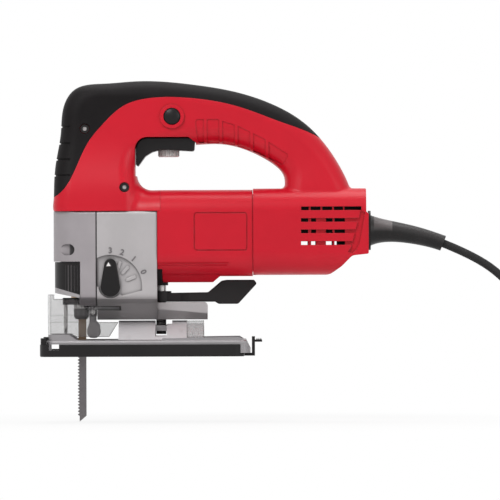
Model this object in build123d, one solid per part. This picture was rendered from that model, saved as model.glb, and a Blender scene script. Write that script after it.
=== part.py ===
"""D-handle jigsaw, built as it comes apart on a bench.

Millimetres.  +Z is up, +X runs from the blade to the cord, and the saw is
seen from -Y.  The origin is the centre of the sole, on its underside.
"""

import functools
import math
import os

from build123d import *

# Clearances
GAP = 0.35            # between pieces that move past each other
FIT = 0.05            # radial running fit of a shaft or pin
SEAT = 0.1            # between fixed pieces that sit on each other

# Foot plate, a pressed tray open to the front round the blade
FOOT_FRONT = -79.6
FOOT_REAR = 78.6
FOOT_HALF = 40.7
FOOT_TOP = 12.9
FOOT_UNDER = 2.7
FOOT_SHEET = 2.4
FOOT_CORNER = 8.0
FOOT_EDGE_ROUND = 2.2
FOOT_REAR_SLOPE = 3.6
RIM_FRONT = 8.5       # raised rim along each side, behind the gear case
RIM_REAR = 70.0
RIM_TOPS = (14.2, 15.0)   # front and rear
RIM_WIDTH = 3.2
FORK_HALF = 26.8      # half width of the open fork round the blade
FORK_END = -24.2
HORN_TOP = 17.2       # raised front corners of the tray
HORN_REAR = -62.0
HORN_FOOT = -55.8
HORN_WIDTH = 4.5
FENCE_SLOT_CENTRE = -73.7
FENCE_SLOT_LENGTH = 8.2
FENCE_SLOT_HEIGHT = 4.6
FENCE_SLOT_Z = 7.4

# Saddle on the foot, a half cylinder about the bevel axis
SADDLE_RADIUS = 27.6
SADDLE_WALL = 3.0
SADDLE_FRONT = -24.0
SADDLE_REAR = 29.0
DUCT_REAR = 42.3
DUCT_WALL = 2.2
SADDLE_WINDOW = 24.8  # lower edge of the wider opening round the bolt
BEVEL_ARC = 55.6      # half angle of the slot that lets the bolt pass

# Sole cover, a plastic shoe under the tray
SOLE_FRONT = -84.6
SOLE_REAR = 74.0
SOLE_HALF = 43.0
SOLE_FLOOR = 2.4
SOLE_WALL_TOP = 9.4
SOLE_CORNER = 9.0
SOLE_LOW_FRONT = 4.0
SOLE_CLIP_TOP = 14.5
SOLE_CLIP = (33.2, 39.0)   # Y from, to
BLADE_SLOT_HALF = 6.0
BLADE_SLOT_FRONT = -72.0
BLADE_SLOT_REAR = -36.0
LATCH_HALF = 7.0
LATCH_TOP = 15.0
LATCH_THICK = 2.4
LATCH_TAB = 5.6

# Gear case
CASE_FRONT = -40.6
CASE_REAR = 6.2
CASE_HALF = 33.0
CASE_TOP = 112.7
CASE_SHOULDER = 45.5  # where the flank turns under
CASE_ELBOW_HALF = 22.0
CASE_ELBOW = 41.0
CASE_KEEL_HALF = 9.2
CASE_KEEL = 28.4
CASE_TOP_ROUND = 2.0
CASE_CAVITY_HALF = 26.0
CASE_CAVITY_LOW = 46.0
CASE_CAVITY_HIGH = 108.7
CASE_BACK_WALL = 9.2
ARM_REAR = 45.2       # tail of the case that lies over the saddle
ARM_TOP = 41.7
TAIL_HALF = 13.5
TAIL_EDGES = (37.4, 33.0)  # lower edge of the tail's flank, front and rear

# Front cover
NOSE_FRONT = -74.3
NOSE_CORNER = 20.0
COVER_SEAM = 0.4
COVER_UNDER = 39.4
COVER_STEP = -54.0
COVER_CAVITY_HALF = 22.0
COVER_CAVITY_FRONT = -60.6
COVER_CAVITY_LOW = 52.0
LIP_FRONT = -73.0
AIR_SLOT_X = -63.0
AIR_SLOT_Z = 83.0
AIR_SLOT_LENGTH = 10.7
AIR_SLOT_HEIGHT = 8.7
AIR_SLOT_DEPTH = 5.5

# Blade release lever
RELEASE_TOP = 73.4
RELEASE_REAR = -53.7
RELEASE_INSET = 0.9
RELEASE_WALL = 4.6
RELEASE_LOW_FRONT = 49.6
RELEASE_LOW_REAR = 45.5
RELEASE_HINGE_X = -66.9
RELEASE_HINGE_Y = 23.3
RELEASE_BARREL = 3.4
RELEASE_RELIEF = 5.2  # room for the end of the lever as it swings
RELEASE_PIN = 1.5
RELEASE_RIBS = 4

# Plunger, yoke and blade
PLUNGER_X = -53.25
PLUNGER_RADIUS = 5.9
PLUNGER_LOW = 37.1
PLUNGER_HIGH = 96.0
STROKE_UP = 21.0
BUSH_WALL = 2.1
LOWER_BUSH = (45.6, 51.5)
UPPER_BUSH = (87.5, 98.0)
YOKE_Z = 60.0
YOKE_HALF_HEIGHT = 5.0
YOKE_HALF = 19.0
YOKE_FRONT = -48.5
YOKE_REAR = -42.2
CLAMP_LOW = 28.8
CLAMP_TAPER = 2.2
BLADE_FRONT = -56.4
BLADE_BACK = -49.5
BLADE_HALF = 0.65
BLADE_TIP = -51.1
BLADE_TOP = 46.0
TOOTH_PITCH = 2.5
TOOTH_DEPTH = 1.5
TEETH = 24
SHANK_FRONT = -55.6

# Gear train
MOTOR_Z = 95.0
MODULE = 0.8
PINION_TEETH = 10
GEAR_TEETH = 55
GEAR_FRONT = -31.0
GEAR_REAR = -20.0
GEAR_HUB = 9.0
GEAR_HUB_REAR = -4.0
AXLE_RADIUS = 4.95
CRANK_RADIUS = 12.0
CRANK_PIN = 3.5
CRANK_TIP = -41.2
COUNTERWEIGHT_THICK = 4.0
COUNTERWEIGHT_RADIUS = 19.0
GEAR_Z = MOTOR_Z - MODULE * (PINION_TEETH + GEAR_TEETH) / 2

# Motor
SHAFT_RADIUS = 4.0
SHAFT_FRONT = -33.0
SHAFT_REAR = 106.5
FRONT_BEARING = (-1.6, 5.4, 12.0)   # front face, rear face, outer radius
REAR_BEARING = (97.5, 105.5, 9.5)
FAN_FRONT = 11.0
FAN_REAR = 20.0
FAN_RADIUS = 27.0
FAN_BLADES = 11
STACK_FRONT = 29.0
STACK_REAR = 65.0
ARMATURE_RADIUS = 15.8
AIR_GAP = 0.6
FIELD_HALF = 29.0
COMMUTATOR = (76.0, 90.0, 11.0)
WINDING_END = 6.0
BRUSH_X = 83.0
CARRIER = (91.0, 95.0, 29.0)

# Motor housing
HOUSING_FRONT = 6.5
HOUSING_REAR = 80.5
HOUSING_HALF = 34.0
HOUSING_LOW = 62.0
HOUSING_HIGH = 129.1
HOUSING_CORNER = 18.0
HOUSING_WALL = 3.2
KEEL_LOW = 57.3
KEEL_CREASE = 72.0
KEEL_HALF = 14.0
HOOD_FRONT = -22.0
HOOD_REAR = 8.9       # seam between the hood over the case and the motor housing
HOOD_FRONT_HALF = 29.0
SPIGOT_DEPTH = 4.5    # of the lips that bridge the seams
HAND_COVE = 12.0      # radius between the column and the hood
PANEL = (34.9, 76.5, 81.8, 111.7)   # bare framed panel: X from, to, Z from, to
PANEL_GROOVE = 0.9

# Rear block of the handle
BLOCK_FRONT = 80.8
BLOCK_REAR = 170.4
BLOCK_HALF = 35.0
BLOCK_LOW = 62.8
BLOCK_HIGH = 130.0
BLOCK_CORNER = 18.0
VENT_ROWS = (114.4, 105.4, 96.6, 87.5)
VENT_HEIGHT = 2.8
VENT_TOP_SLOTS = ((118.2, 124.0), (125.4, 133.1), (134.5, 142.2), (143.5, 150.6), (151.6, 164.8))
VENT_SLOTS = ((118.0, 123.5), (125.8, 129.6), (137.3, 142.4), (143.9, 152.0))
VENT_DEPTH = 7.0
VENT_GROOVE = 2.2     # depth of the groove that each row of slots lies in
VENT_START = 118.0
VENT_ENDS = (164.6, 163.4, 160.4, 157.6)
REAR_CHANNEL = ((164.4, 113.6), (156.8, 84.6), (154.4, 80.6), (157.6, 79.6), (160.8, 82.4), (163.6, 88.0),
                (167.6, 110.6))
CHANNEL_DEPTH = 2.0
SCREEN = (114.0, 168.0, 11.0, 12.6, 91.5, 124.0)   # inner wall behind the upper slots

# Handle: outer point, inner point (X, Z) and half width of each section round the loop
HANDLE_SECTIONS = (
    ((-74.0, 112.9), (-6.8, 112.9), 33.0),
    ((-74.2, 121.0), (-7.4, 121.5), 32.3),
    ((-73.8, 131.0), (-8.4, 131.5), 31.0),
    ((-72.2, 151.7), (-9.5, 147.0), 26.5),
    ((-68.6, 174.0), (-6.0, 157.0), 23.0),
    ((-66.4, 194.2), (-1.0, 160.5), 21.6),
    ((-57.6, 207.8), (5.0, 162.2), 21.0),
    ((-33.9, 212.3), (11.5, 163.2), 20.8),
    ((-10.0, 214.0), (19.0, 163.7), 20.5),
    ((35.0, 211.2), (37.0, 164.4), 20.0),
    ((67.5, 205.5), (57.0, 164.8), 20.0),
    ((97.1, 195.4), (77.0, 159.8), 20.5),
    ((125.2, 177.5), (95.0, 150.4), 22.0),
    ((146.0, 151.5), (104.5, 141.0), 24.0),
    ((156.4, 130.0), (105.5, 131.0), 26.5),
    ((158.0, 120.0), (104.0, 120.0), 27.0),
)
HANDLE_ROUND = 14.0
HANDLE_WALL = 4.0
ROOT_ROUND = 3.5      # where the loop rises from the rear block
GRIP_THICK = 1.8
GRIP_EDGE = (
    (-80.0, 122.0), (-66.7, 129.0), (-60.0, 139.0), (-46.0, 168.0), (-37.0, 179.0), (-17.0, 196.0),
    (0.0, 200.5), (30.0, 200.8), (69.0, 194.0), (102.0, 182.0), (131.0, 170.5), (140.0, 165.0),
)
NOSE_GROOVES = (178.5, 165.5, 153.0, 140.6)
FINGER_PANEL = ((36.0, 184.0), (53.0, 184.0), (70.0, 178.5), (89.0, 169.0), (109.0, 156.0),
                (104.0, 148.0), (84.0, 158.0), (60.0, 164.5), (38.0, 166.0))
FINGER_RIBS = (44.0, 56.0, 68.0, 80.0, 92.0)
FINGER_DEPTH = 0.8
SCREW_PLACES = ((-49.7, 176.9, -17.0), (-18.9, 131.3, -24.6))   # X, Z and the Y of the seat
SCREW_HEAD = 3.4
SCREW_SHANK = 1.8
SCREW_TIP = 10.0
COVER_SCREW_SEAT = 3.0
COVER_SCREW_TIP = -54.0

# Trigger, dial, lock button and switch
TRIGGER_FRONT = -10.2
TRIGGER_REAR = 36.0
TRIGGER_TOP = 170.0
TRIGGER_HALF = 12.6
TRIGGER_TRAVEL = 5.0
TRIGGER_RECESS = 170.4
DIAL_X = 15.3
DIAL_RADIUS = 8.35
DIAL_LOW = 155.0
DIAL_HIGH = 162.4
DIAL_FLUTES = 16
DIAL_FLUTE = 0.95     # radius of each flute
LOCK_X = 18.1
LOCK_Z = 186.3
LOCK_RADIUS = 6.3
LOCK_BOSS = 9.4
LOCK_FACE = -23.6
LOCK_TRAVEL = 4.0
LOCK_DOME = 15.0      # radius of the button's face
SWITCH = (-6.0, 34.0, 176.2, 197.0)  # X from, to, Z from, to
SWITCH_HALF = 15.4

# Orbit selector
KNOB_X = -29.9
KNOB_Z = 54.2
KNOB_RADIUS = 7.6
KNOB_SHAFT = 4.0
KNOB_NOSE = 4.6
KNOB_REACH = 17.2
KNOB_FACE = -36.2
POCKET_RADIUS = 24.6
POCKET_FLOOR = -30.0
DETENT_ANGLES = (22.0, 42.0, 68.0)

# Roller guide
ROLLER_X = -43.65
ROLLER_Z = 19.5
ROLLER_RADIUS = 5.5
ROLLER_HALF = 4.3
ROLLER_PIN = 1.75
PIVOT_X = -44.0
PIVOT_Z = 34.5
PIVOT_PIN = 2.0
ARM_PLATE = (4.7, 6.1)

# Foot clamp
BOLT_X = 9.0
BOLT_RADIUS = 3.9
BOLT_LOW = 17.0
NUT_HALF = 5.5
LEVER_LOW = 42.1
LEVER_HIGH = 49.0
LEVER_HUB = 8.0
LEVER_HALF = 9.0
LEVER_NECK = 6.5
LEVER_ROOM = 9.0      # radius of the room round the hub
STOP_LOW = 55.0
STOP_HIGH = 65.0
STOP_HALF = 9.0
STOP_REAR = 14.4
STOP_WING = 27.0
STOP_WING_TOP = 67.6
STOP_FACE = 10.2

# Clear blade guard
GUARD_FRONT = -79.0
GUARD_WALL = 1.5
GUARD_LOW = 15.0
GUARD_NARROW = 8.2
GUARD_WIDE = 12.0
GUARD_KNEE = 26.3
GUARD_FLARE = 31.8
RAIL = (9.5, 12.4, 36.0, 38.8)      # Y from, to, Z from, to
RAIL_REAR = -23.2
WIRE_X = -65.5
WIRE_RADIUS = 1.4
WIRE_HALF = 4.2
WIRE_LOW = 17.5
SEAL = (-67.6, -54.3, 40.2, 45.4)

# Mains lead
CORD_DIAMETER = 6.5
FLOOR = BLADE_TIP
GUARD_SECTIONS = ((172.4, 97.2, 12.0, 0.0), (181.0, 97.0, 9.4, 3.0), (190.0, 96.2, 8.1, 7.0),
                  (209.0, 92.9, 6.9, 15.0), (229.0, 87.0, 6.2, 22.0))   # X, Z, radius, droop
CORD_POINTS = ((229.0, 0.0, 87.0), (254.0, 0.0, 76.9), (278.0, -4.0, 59.0), (297.0, -13.0, 34.0),
               (312.0, -24.0, 7.0), (330.0, -37.0, -15.0))
CORD_APPROACH = 42.0  # straight run on to the coil
CORD_TAIL = 26.0      # straight run from the coil to the plug
COIL_X = 400.0
COIL_Y = 0.0
COIL_INNER = 28.5
COIL_TURNS = 2.5
COIL_LAYERS = 4
COIL_STEP = 7.1       # between turns and between layers
TIE_THICK = 1.3
TIE_WIDTH = 9.0
TIE_ANGLE = 60.0
PLUG_LENGTH = 36.0
PLUG_HALF = 17.0
PLUG_HEIGHT = 17.0
PIN_RADIUS = 2.4
PIN_LENGTH = 19.0
PIN_SPACING = 19.0


def block(x0, x1, y0, y1, z0, z1):
    """A box between two corners."""
    return Pos((x0 + x1) / 2, (y0 + y1) / 2, (z0 + z1) / 2) * Box(x1 - x0, y1 - y0, z1 - z0)


def rod_x(x0, x1, radius, y=0.0, z=0.0):
    return Pos((x0 + x1) / 2, y, z) * Rot(0, 90, 0) * Cylinder(radius, x1 - x0)


def rod_y(y0, y1, radius, x, z):
    return Pos(x, (y0 + y1) / 2, z) * Rot(90, 0, 0) * Cylinder(radius, y1 - y0)


def rod_z(z0, z1, radius, x, y=0.0):
    return Pos(x, y, (z0 + z1) / 2) * Cylinder(radius, z1 - z0)


def outline(points, radius):
    """A closed outline with rounded corners, or sharp ones where the radius is nought."""
    if radius:
        return FilletPolyline(*points, radius=radius, close=True)
    return Polyline(*points, close=True)


def side_slab(points, y0, y1, radius=0):
    """A side outline of (X, Z) points, as thick as y0 to y1."""
    face = Face(Wire(outline([(x, y0, z) for x, z in points], radius).edges()))
    return extrude(face, amount=y1 - y0, dir=(0, 1, 0))


def cross_slab(points, x0, x1, radius=0):
    """A cross section of (Y, Z) points, as long as x0 to x1."""
    face = Face(Wire(outline([(x0, y, z) for y, z in points], radius).edges()))
    return extrude(face, amount=x1 - x0, dir=(1, 0, 0))


def plan_slab(points, z0, z1, radius=0):
    """A plan of (X, Y) points, as high as z0 to z1."""
    face = Face(Wire(outline([(x, y, z0) for x, y in points], radius).edges()))
    return extrude(face, amount=z1 - z0, dir=(0, 0, 1))


def round_bar(x0, x1, half, low, high, corner):
    """A bar along X whose section is a rounded rectangle."""
    section = Plane.YZ.offset(x0) * Pos(0, (low + high) / 2) * RectangleRounded(2 * half, high - low, corner)
    return extrude(section, amount=x1 - x0, dir=(1, 0, 0))


def mirrored(points):
    """A half section of (Y, Z) points from top to bottom, closed by its mirror image."""
    return list(points) + [(-y, z) for y, z in reversed(points)]


def both_sides(piece):
    return piece + mirror(piece, about=Plane.XZ)


def gear_face(teeth, phase, bore):
    """A spur gear's outline on the YZ plane, with slim teeth that leave room for backlash."""
    pitch = MODULE * teeth / 2
    tip = pitch + 0.9 * MODULE
    root = pitch - 1.1 * MODULE
    step = 2 * math.pi / teeth
    points = []
    for tooth in range(teeth):
        middle = phase + tooth * step
        for share, radius in ((-0.29, root), (-0.2, pitch), (-0.08, tip), (0.08, tip), (0.2, pitch),
                              (0.29, root)):
            angle = middle + share * step
            points.append((0.0, radius * math.sin(angle), radius * math.cos(angle)))
    face = Face(Wire(Polyline(*points, close=True).edges()))
    if bore:
        face = face - Plane.YZ * Circle(bore)
    return face


def toothed_wheel(teeth, x0, x1, z, phase, bore=0.0):
    return Pos(x0, 0, z) * extrude(gear_face(teeth, phase, bore), amount=x1 - x0, dir=(1, 0, 0))


# Foot

def foot_profile(inset):
    """Side outline of the tray, with its sloping rear end."""
    return (
        (FOOT_FRONT + inset, FOOT_UNDER),
        (FOOT_FRONT + inset, FOOT_TOP - inset),
        (FOOT_REAR - FOOT_REAR_SLOPE - inset, FOOT_TOP - inset),
        (FOOT_REAR - inset, FOOT_TOP - inset - 2 * FOOT_REAR_SLOPE),
        (FOOT_REAR - inset, FOOT_UNDER),
    )


def foot_plan(inset):
    length = FOOT_REAR - FOOT_FRONT - 2 * inset
    middle = (FOOT_REAR + FOOT_FRONT) / 2
    sheet = RectangleRounded(length, 2 * (FOOT_HALF - inset), FOOT_CORNER - inset)
    return extrude(Pos(middle, 0, 0) * sheet, amount=2 * FOOT_TOP)


def make_foot_plate():
    tray = side_slab(foot_profile(0), -FOOT_HALF, FOOT_HALF) & foot_plan(0)
    rims = tray.edges().filter_by(Axis.X).group_by(Axis.Z)[-1]
    tray = fillet(rims, FOOT_EDGE_ROUND)
    inner = side_slab(foot_profile(FOOT_SHEET), -FOOT_HALF, FOOT_HALF) & foot_plan(FOOT_SHEET)
    tray = tray - inner
    horn = side_slab(
        ((FOOT_FRONT + 1.6, FOOT_TOP - FOOT_SHEET), (FOOT_FRONT + 1.6, HORN_TOP), (HORN_REAR, HORN_TOP),
         (HORN_FOOT, FOOT_TOP), (HORN_FOOT, FOOT_TOP - FOOT_SHEET)),
        FOOT_HALF - HORN_WIDTH, FOOT_HALF - 0.8)
    tray = tray + both_sides(horn & foot_plan(0.8))
    rim = side_slab(
        ((RIM_FRONT, FOOT_TOP - 1), (RIM_FRONT + 2, RIM_TOPS[0]), (RIM_REAR, RIM_TOPS[1]),
         (FOOT_REAR - FOOT_REAR_SLOPE, FOOT_TOP - 1)),
        FOOT_HALF - 1.2 - RIM_WIDTH, FOOT_HALF - 1.2)
    tray = tray + both_sides(rim & foot_plan(1.2))
    tray = tray - block(FOOT_FRONT - 1, FORK_END, -FORK_HALF, FORK_HALF, 0, 2 * FOOT_TOP)
    well = math.sqrt((SADDLE_RADIUS - SADDLE_WALL) ** 2 - FOOT_TOP ** 2)
    tray = tray - block(SADDLE_FRONT + 6, DUCT_REAR - 4, -well, well, 0, 2 * FOOT_TOP)
    return tray - fence_slot()


def fence_slot():
    """Cross bore for the bar of a rip fence."""
    half = FENCE_SLOT_LENGTH / 2
    return block(FENCE_SLOT_CENTRE - half, FENCE_SLOT_CENTRE + half, -2 * SOLE_HALF, 2 * SOLE_HALF,
                 FENCE_SLOT_Z - FENCE_SLOT_HEIGHT / 2, FENCE_SLOT_Z + FENCE_SLOT_HEIGHT / 2)


def saddle_shell(x0, x1, wall):
    tube = rod_x(x0, x1, SADDLE_RADIUS) - rod_x(x0, x1, SADDLE_RADIUS - wall)
    return tube & block(x0, x1, -SADDLE_RADIUS, SADDLE_RADIUS, FOOT_TOP, 2 * SADDLE_RADIUS)


def make_foot_saddle():
    shell = saddle_shell(SADDLE_FRONT, SADDLE_REAR, SADDLE_WALL)
    reach = 2 * SADDLE_RADIUS
    side = reach * math.sin(math.radians(BEVEL_ARC))
    rise = reach * math.cos(math.radians(BEVEL_ARC))
    front = BOLT_X - BOLT_RADIUS - 0.5
    slot = cross_slab(((0, 0), (side, rise), (side, reach), (-side, reach), (-side, rise)),
                      front, BOLT_X + BOLT_RADIUS + 0.5)
    window = block(front, BOLT_X + BOLT_RADIUS + 4.7, -reach, reach, SADDLE_WINDOW, reach)
    return shell - slot - window


def make_dust_duct():
    return saddle_shell(SADDLE_REAR, DUCT_REAR, DUCT_WALL)


def make_sole_cover():
    length = SOLE_REAR - SOLE_FRONT
    middle = (SOLE_REAR + SOLE_FRONT) / 2
    plan = Pos(middle, 0, 0) * RectangleRounded(length, 2 * SOLE_HALF, SOLE_CORNER)
    cover = extrude(plan, amount=SOLE_WALL_TOP)
    cover = fillet(cover.edges().group_by(Axis.Z)[0], 1.0)
    pocket = Pos(0, 0, SOLE_FLOOR) * foot_plan(-2 * SEAT)
    cover = cover - pocket
    clip = block(SOLE_FRONT + 0.6, FOOT_FRONT - 2 * SEAT, *SOLE_CLIP, SOLE_FLOOR, SOLE_CLIP_TOP)
    cover = cover + both_sides(clip & extrude(plan, amount=SOLE_CLIP_TOP))
    cover = cover - block(SOLE_FRONT - 1, FOOT_FRONT + 1, -FORK_HALF, FORK_HALF, SOLE_LOW_FRONT,
                          2 * SOLE_CLIP_TOP)
    cover = cover - block(BLADE_SLOT_FRONT, BLADE_SLOT_REAR, -BLADE_SLOT_HALF, BLADE_SLOT_HALF, -1,
                          SOLE_FLOOR + 1)
    tongue_rear = FOOT_REAR + 1.0 + LATCH_THICK
    tongue = block(SOLE_REAR - 2, tongue_rear, -LATCH_HALF, LATCH_HALF, 0, FOOT_UNDER - 0.6)
    upright = block(tongue_rear - LATCH_THICK, tongue_rear, -LATCH_HALF, LATCH_HALF, 0, LATCH_TOP)
    tab = block(tongue_rear - 0.2, tongue_rear + LATCH_TAB, -LATCH_HALF, LATCH_HALF, LATCH_TOP - 4.2,
                LATCH_TOP - 2.6)
    cover = cover + tongue + upright + tab
    for ridge in range(3):
        x = tongue_rear + 1.6 + 1.5 * ridge
        cover = cover + side_slab(((x - 0.7, LATCH_TOP - 2.7), (x, LATCH_TOP - 1.2),
                                   (x + 0.7, LATCH_TOP - 2.7)),
                                  -LATCH_HALF, LATCH_HALF)
    return cover - fence_slot()


# Gear case and front cover

def case_section():
    """Half section of the case: a square shoulder, then flanks that turn under for the bevel."""
    return mirrored((
        (CASE_HALF, CASE_TOP),
        (CASE_HALF, CASE_SHOULDER),
        (CASE_ELBOW_HALF, CASE_ELBOW),
        (CASE_KEEL_HALF, CASE_KEEL),
    ))


def case_bar(x0, x1):
    rounds = (CASE_TOP_ROUND, 5.0, 3.0, 0.0, 0.0, 3.0, 5.0, CASE_TOP_ROUND)
    return cross_slab(case_section(), x0, x1, rounds)


def knob_pocket():
    """Recess in the near flank that the selector sweeps over."""
    disc = rod_y(-CASE_HALF - 1, POCKET_FLOOR, POCKET_RADIUS, KNOB_X, KNOB_Z)
    far = 2 * POCKET_RADIUS
    wedge = side_slab(
        ((KNOB_X - 10.5, KNOB_Z), (KNOB_X - 10.5, KNOB_Z + far), (KNOB_X + far, KNOB_Z + far),
         (KNOB_X + far, KNOB_Z + 3), (KNOB_X + 9, KNOB_Z - 7), (KNOB_X, KNOB_Z)),
        -CASE_HALF - 1, POCKET_FLOOR)
    seat = rod_y(-CASE_HALF - 1, POCKET_FLOOR, KNOB_RADIUS + 1.4, KNOB_X, KNOB_Z)
    return (disc & wedge) + seat


def detent_bars():
    bars = Part()
    for angle in DETENT_ANGLES:
        pad = Plane.XZ * Pos(0, 17.2) * Rot(0, 0, 90) * SlotOverall(8.4, 2.6)
        pad = Pos(0, POCKET_FLOOR + 0.5, 0) * extrude(pad, amount=1.4)
        bars = bars + Pos(KNOB_X, 0, KNOB_Z) * Rot(0, angle, 0) * pad
    return bars


def rail_groove(x0):
    y0, y1, z0, z1 = RAIL
    return both_sides(block(x0, RAIL_REAR + 1.2, y0 - GAP, CASE_HALF, z0 - GAP, z1 + GAP))


def case_tail():
    """Narrow tail over the saddle, whose flanks deepen towards the rear."""
    sections = []
    for x, edge in zip((CASE_REAR - 1, ARM_REAR), TAIL_EDGES):
        points = mirrored(((TAIL_HALF, ARM_TOP), (TAIL_HALF, edge), (CASE_KEEL_HALF, CASE_KEEL)))
        sections.append(Face(Wire(Polyline(*[(x, y, z) for y, z in points], close=True).edges())))
    return loft(sections, ruled=True)


def make_gear_housing():
    case = case_bar(CASE_FRONT, CASE_REAR)
    tail = case_tail()
    tail = fillet(tail.edges().filter_by(Axis.Y).group_by(Axis.X)[-1].group_by(Axis.Z)[-1], 3.0)
    case = case + tail
    case = case - rod_x(CASE_FRONT - 1, ARM_REAR + 1, SADDLE_RADIUS + GAP)
    cavity = round_bar(CASE_FRONT - 1, CASE_REAR - CASE_BACK_WALL, CASE_CAVITY_HALF, CASE_CAVITY_LOW,
                       CASE_CAVITY_HIGH, 6.0)
    case = case - cavity
    front, rear, radius = FRONT_BEARING
    case = case - rod_x(front, CASE_REAR + 1, radius + FIT, z=MOTOR_Z)
    case = case - rod_x(CASE_FRONT, CASE_REAR, SHAFT_RADIUS + 1.2, z=MOTOR_Z)
    case = case - rod_x(CASE_REAR - CASE_BACK_WALL - 1, CASE_REAR - 2, AXLE_RADIUS, z=GEAR_Z)
    case = case - knob_pocket() + detent_bars()
    case = case - rod_y(-CASE_HALF, -CASE_CAVITY_HALF + 1, KNOB_SHAFT + FIT, KNOB_X, KNOB_Z)
    case = case - rail_groove(CASE_FRONT - 1)
    case = case - rod_z(0, STOP_HIGH + 1, BOLT_RADIUS + GAP, BOLT_X)
    case = case - rod_z(ARM_TOP, LEVER_HIGH + 2, LEVER_ROOM, BOLT_X)
    return case - cover_screw_bores()


def nose_plan(inset, z0, z1):
    """Plan of the nose, rounded at its two front corners."""
    reach = 60.0
    corner = NOSE_CORNER - inset
    half = CASE_HALF - inset
    front = NOSE_FRONT + inset
    return plan_slab(((front, -half), (front + reach, -half), (front + reach, half), (front, half)),
                     z0, z1, (corner, 0, 0, corner))


def release_line(x, lift):
    """Height of the lever's slanted lower edge at one X."""
    share = (x - NOSE_FRONT) / (RELEASE_REAR - NOSE_FRONT)
    return RELEASE_LOW_FRONT + share * (RELEASE_LOW_REAR - RELEASE_LOW_FRONT) + lift


def cover_screw_places():
    return [(side * 28.6, z) for side in (-1, 1) for z in (104.0, 84.0)]


def cover_screw_bores():
    bores = Part()
    for y, z in cover_screw_places():
        bores = bores + rod_x(COVER_SCREW_SEAT, CASE_REAR + 1, SCREW_HEAD + 0.3, y, z)
        bores = bores + rod_x(COVER_SCREW_TIP - 1, COVER_SCREW_SEAT + 1, SCREW_SHANK + SEAT, y, z)
    return bores


def make_cover_screws():
    """Long screws put in from behind, before the motor housing covers them."""
    screws = Part()
    for y, z in cover_screw_places():
        top = COVER_SCREW_SEAT + 3
        head = rod_x(COVER_SCREW_SEAT, top, SCREW_HEAD, y, z)
        head = head - block(top - 1.4, top + 1, y - 0.5, y + 0.5, z - 2.2, z + 2.2)
        head = head - block(top - 1.4, top + 1, y - 2.2, y + 2.2, z - 0.5, z + 0.5)
        screws = screws + head + rod_x(COVER_SCREW_TIP, COVER_SCREW_SEAT, SCREW_SHANK, y, z)
    return screws


def release_space():
    """Room for the lever round the lower nose, and relief for its hinge end."""
    ring = block(NOSE_FRONT - 5, RELEASE_REAR + GAP, -2 * CASE_HALF, RELEASE_HINGE_Y, 0, RELEASE_TOP + GAP)
    ring = ring - nose_plan(RELEASE_WALL + 2 * GAP, 0, CASE_TOP)
    return ring + rod_z(0, RELEASE_TOP + GAP, RELEASE_RELIEF, RELEASE_HINGE_X, RELEASE_HINGE_Y)


def make_front_cover():
    rear = CASE_FRONT - COVER_SEAM
    shape = case_bar(NOSE_FRONT, rear) & nose_plan(0, 0, CASE_TOP)
    shape = shape - block(COVER_STEP, rear + 1, -CASE_HALF, CASE_HALF, 0, COVER_UNDER)
    lip = side_slab(((NOSE_FRONT - 1, 0), (NOSE_FRONT - 1, 49.6), (LIP_FRONT, 49.6), (COVER_STEP, 45.6),
                     (COVER_STEP, 0)),
                    -2 * CASE_HALF, 2 * CASE_HALF)
    shape = shape - lip - release_space()
    dome = rod_z(CASE_TOP - 2, PLUNGER_HIGH + STROKE_UP + 4, PLUNGER_RADIUS + 5, PLUNGER_X)
    shape = shape + dome
    low_cavity = block(COVER_CAVITY_FRONT, rear + 1, -COVER_CAVITY_HALF, COVER_CAVITY_HALF, COVER_CAVITY_LOW,
                       UPPER_BUSH[0] - 0.5)
    high_cavity = block(COVER_CAVITY_FRONT, rear + 1, -COVER_CAVITY_HALF, COVER_CAVITY_HALF,
                        UPPER_BUSH[1] + 0.5, CASE_CAVITY_HIGH)
    shape = shape - low_cavity - high_cavity
    shape = shape - rod_z(COVER_UNDER - 1, PLUNGER_HIGH + STROKE_UP + 1, PLUNGER_RADIUS + 2 * GAP, PLUNGER_X)
    for low, high in (LOWER_BUSH, UPPER_BUSH):
        shape = shape - rod_z(low, high + 1, PLUNGER_RADIUS + BUSH_WALL + SEAT, PLUNGER_X)
    shaft_room = rod_x(rear - 12, rear + 1, SHAFT_RADIUS + 3, z=MOTOR_Z)
    shape = shape - shaft_room
    slot = Plane.XZ * Pos(AIR_SLOT_X, AIR_SLOT_Z) * SlotOverall(AIR_SLOT_LENGTH, AIR_SLOT_HEIGHT)
    slot = extrude(slot, amount=2 * CASE_HALF, both=True)
    slot = slot - block(NOSE_FRONT, rear, AIR_SLOT_DEPTH - CASE_HALF, CASE_HALF - AIR_SLOT_DEPTH, 0, CASE_TOP)
    shape = shape - slot
    lugs = both_sides(block(PIVOT_X - 3, PIVOT_X + 2.7, ARM_PLATE[1] + GAP, ARM_PLATE[1] + 2.9,
                            PIVOT_Z - 3.5, COVER_UNDER + 1))
    shape = shape + lugs - rod_y(-CASE_HALF, CASE_HALF, PIVOT_PIN, PIVOT_X, PIVOT_Z)
    pin_bore = rod_z(0, RELEASE_TOP + 7, RELEASE_PIN, RELEASE_HINGE_X, RELEASE_HINGE_Y)
    return shape - pin_bore - cover_screw_bores()


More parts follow.
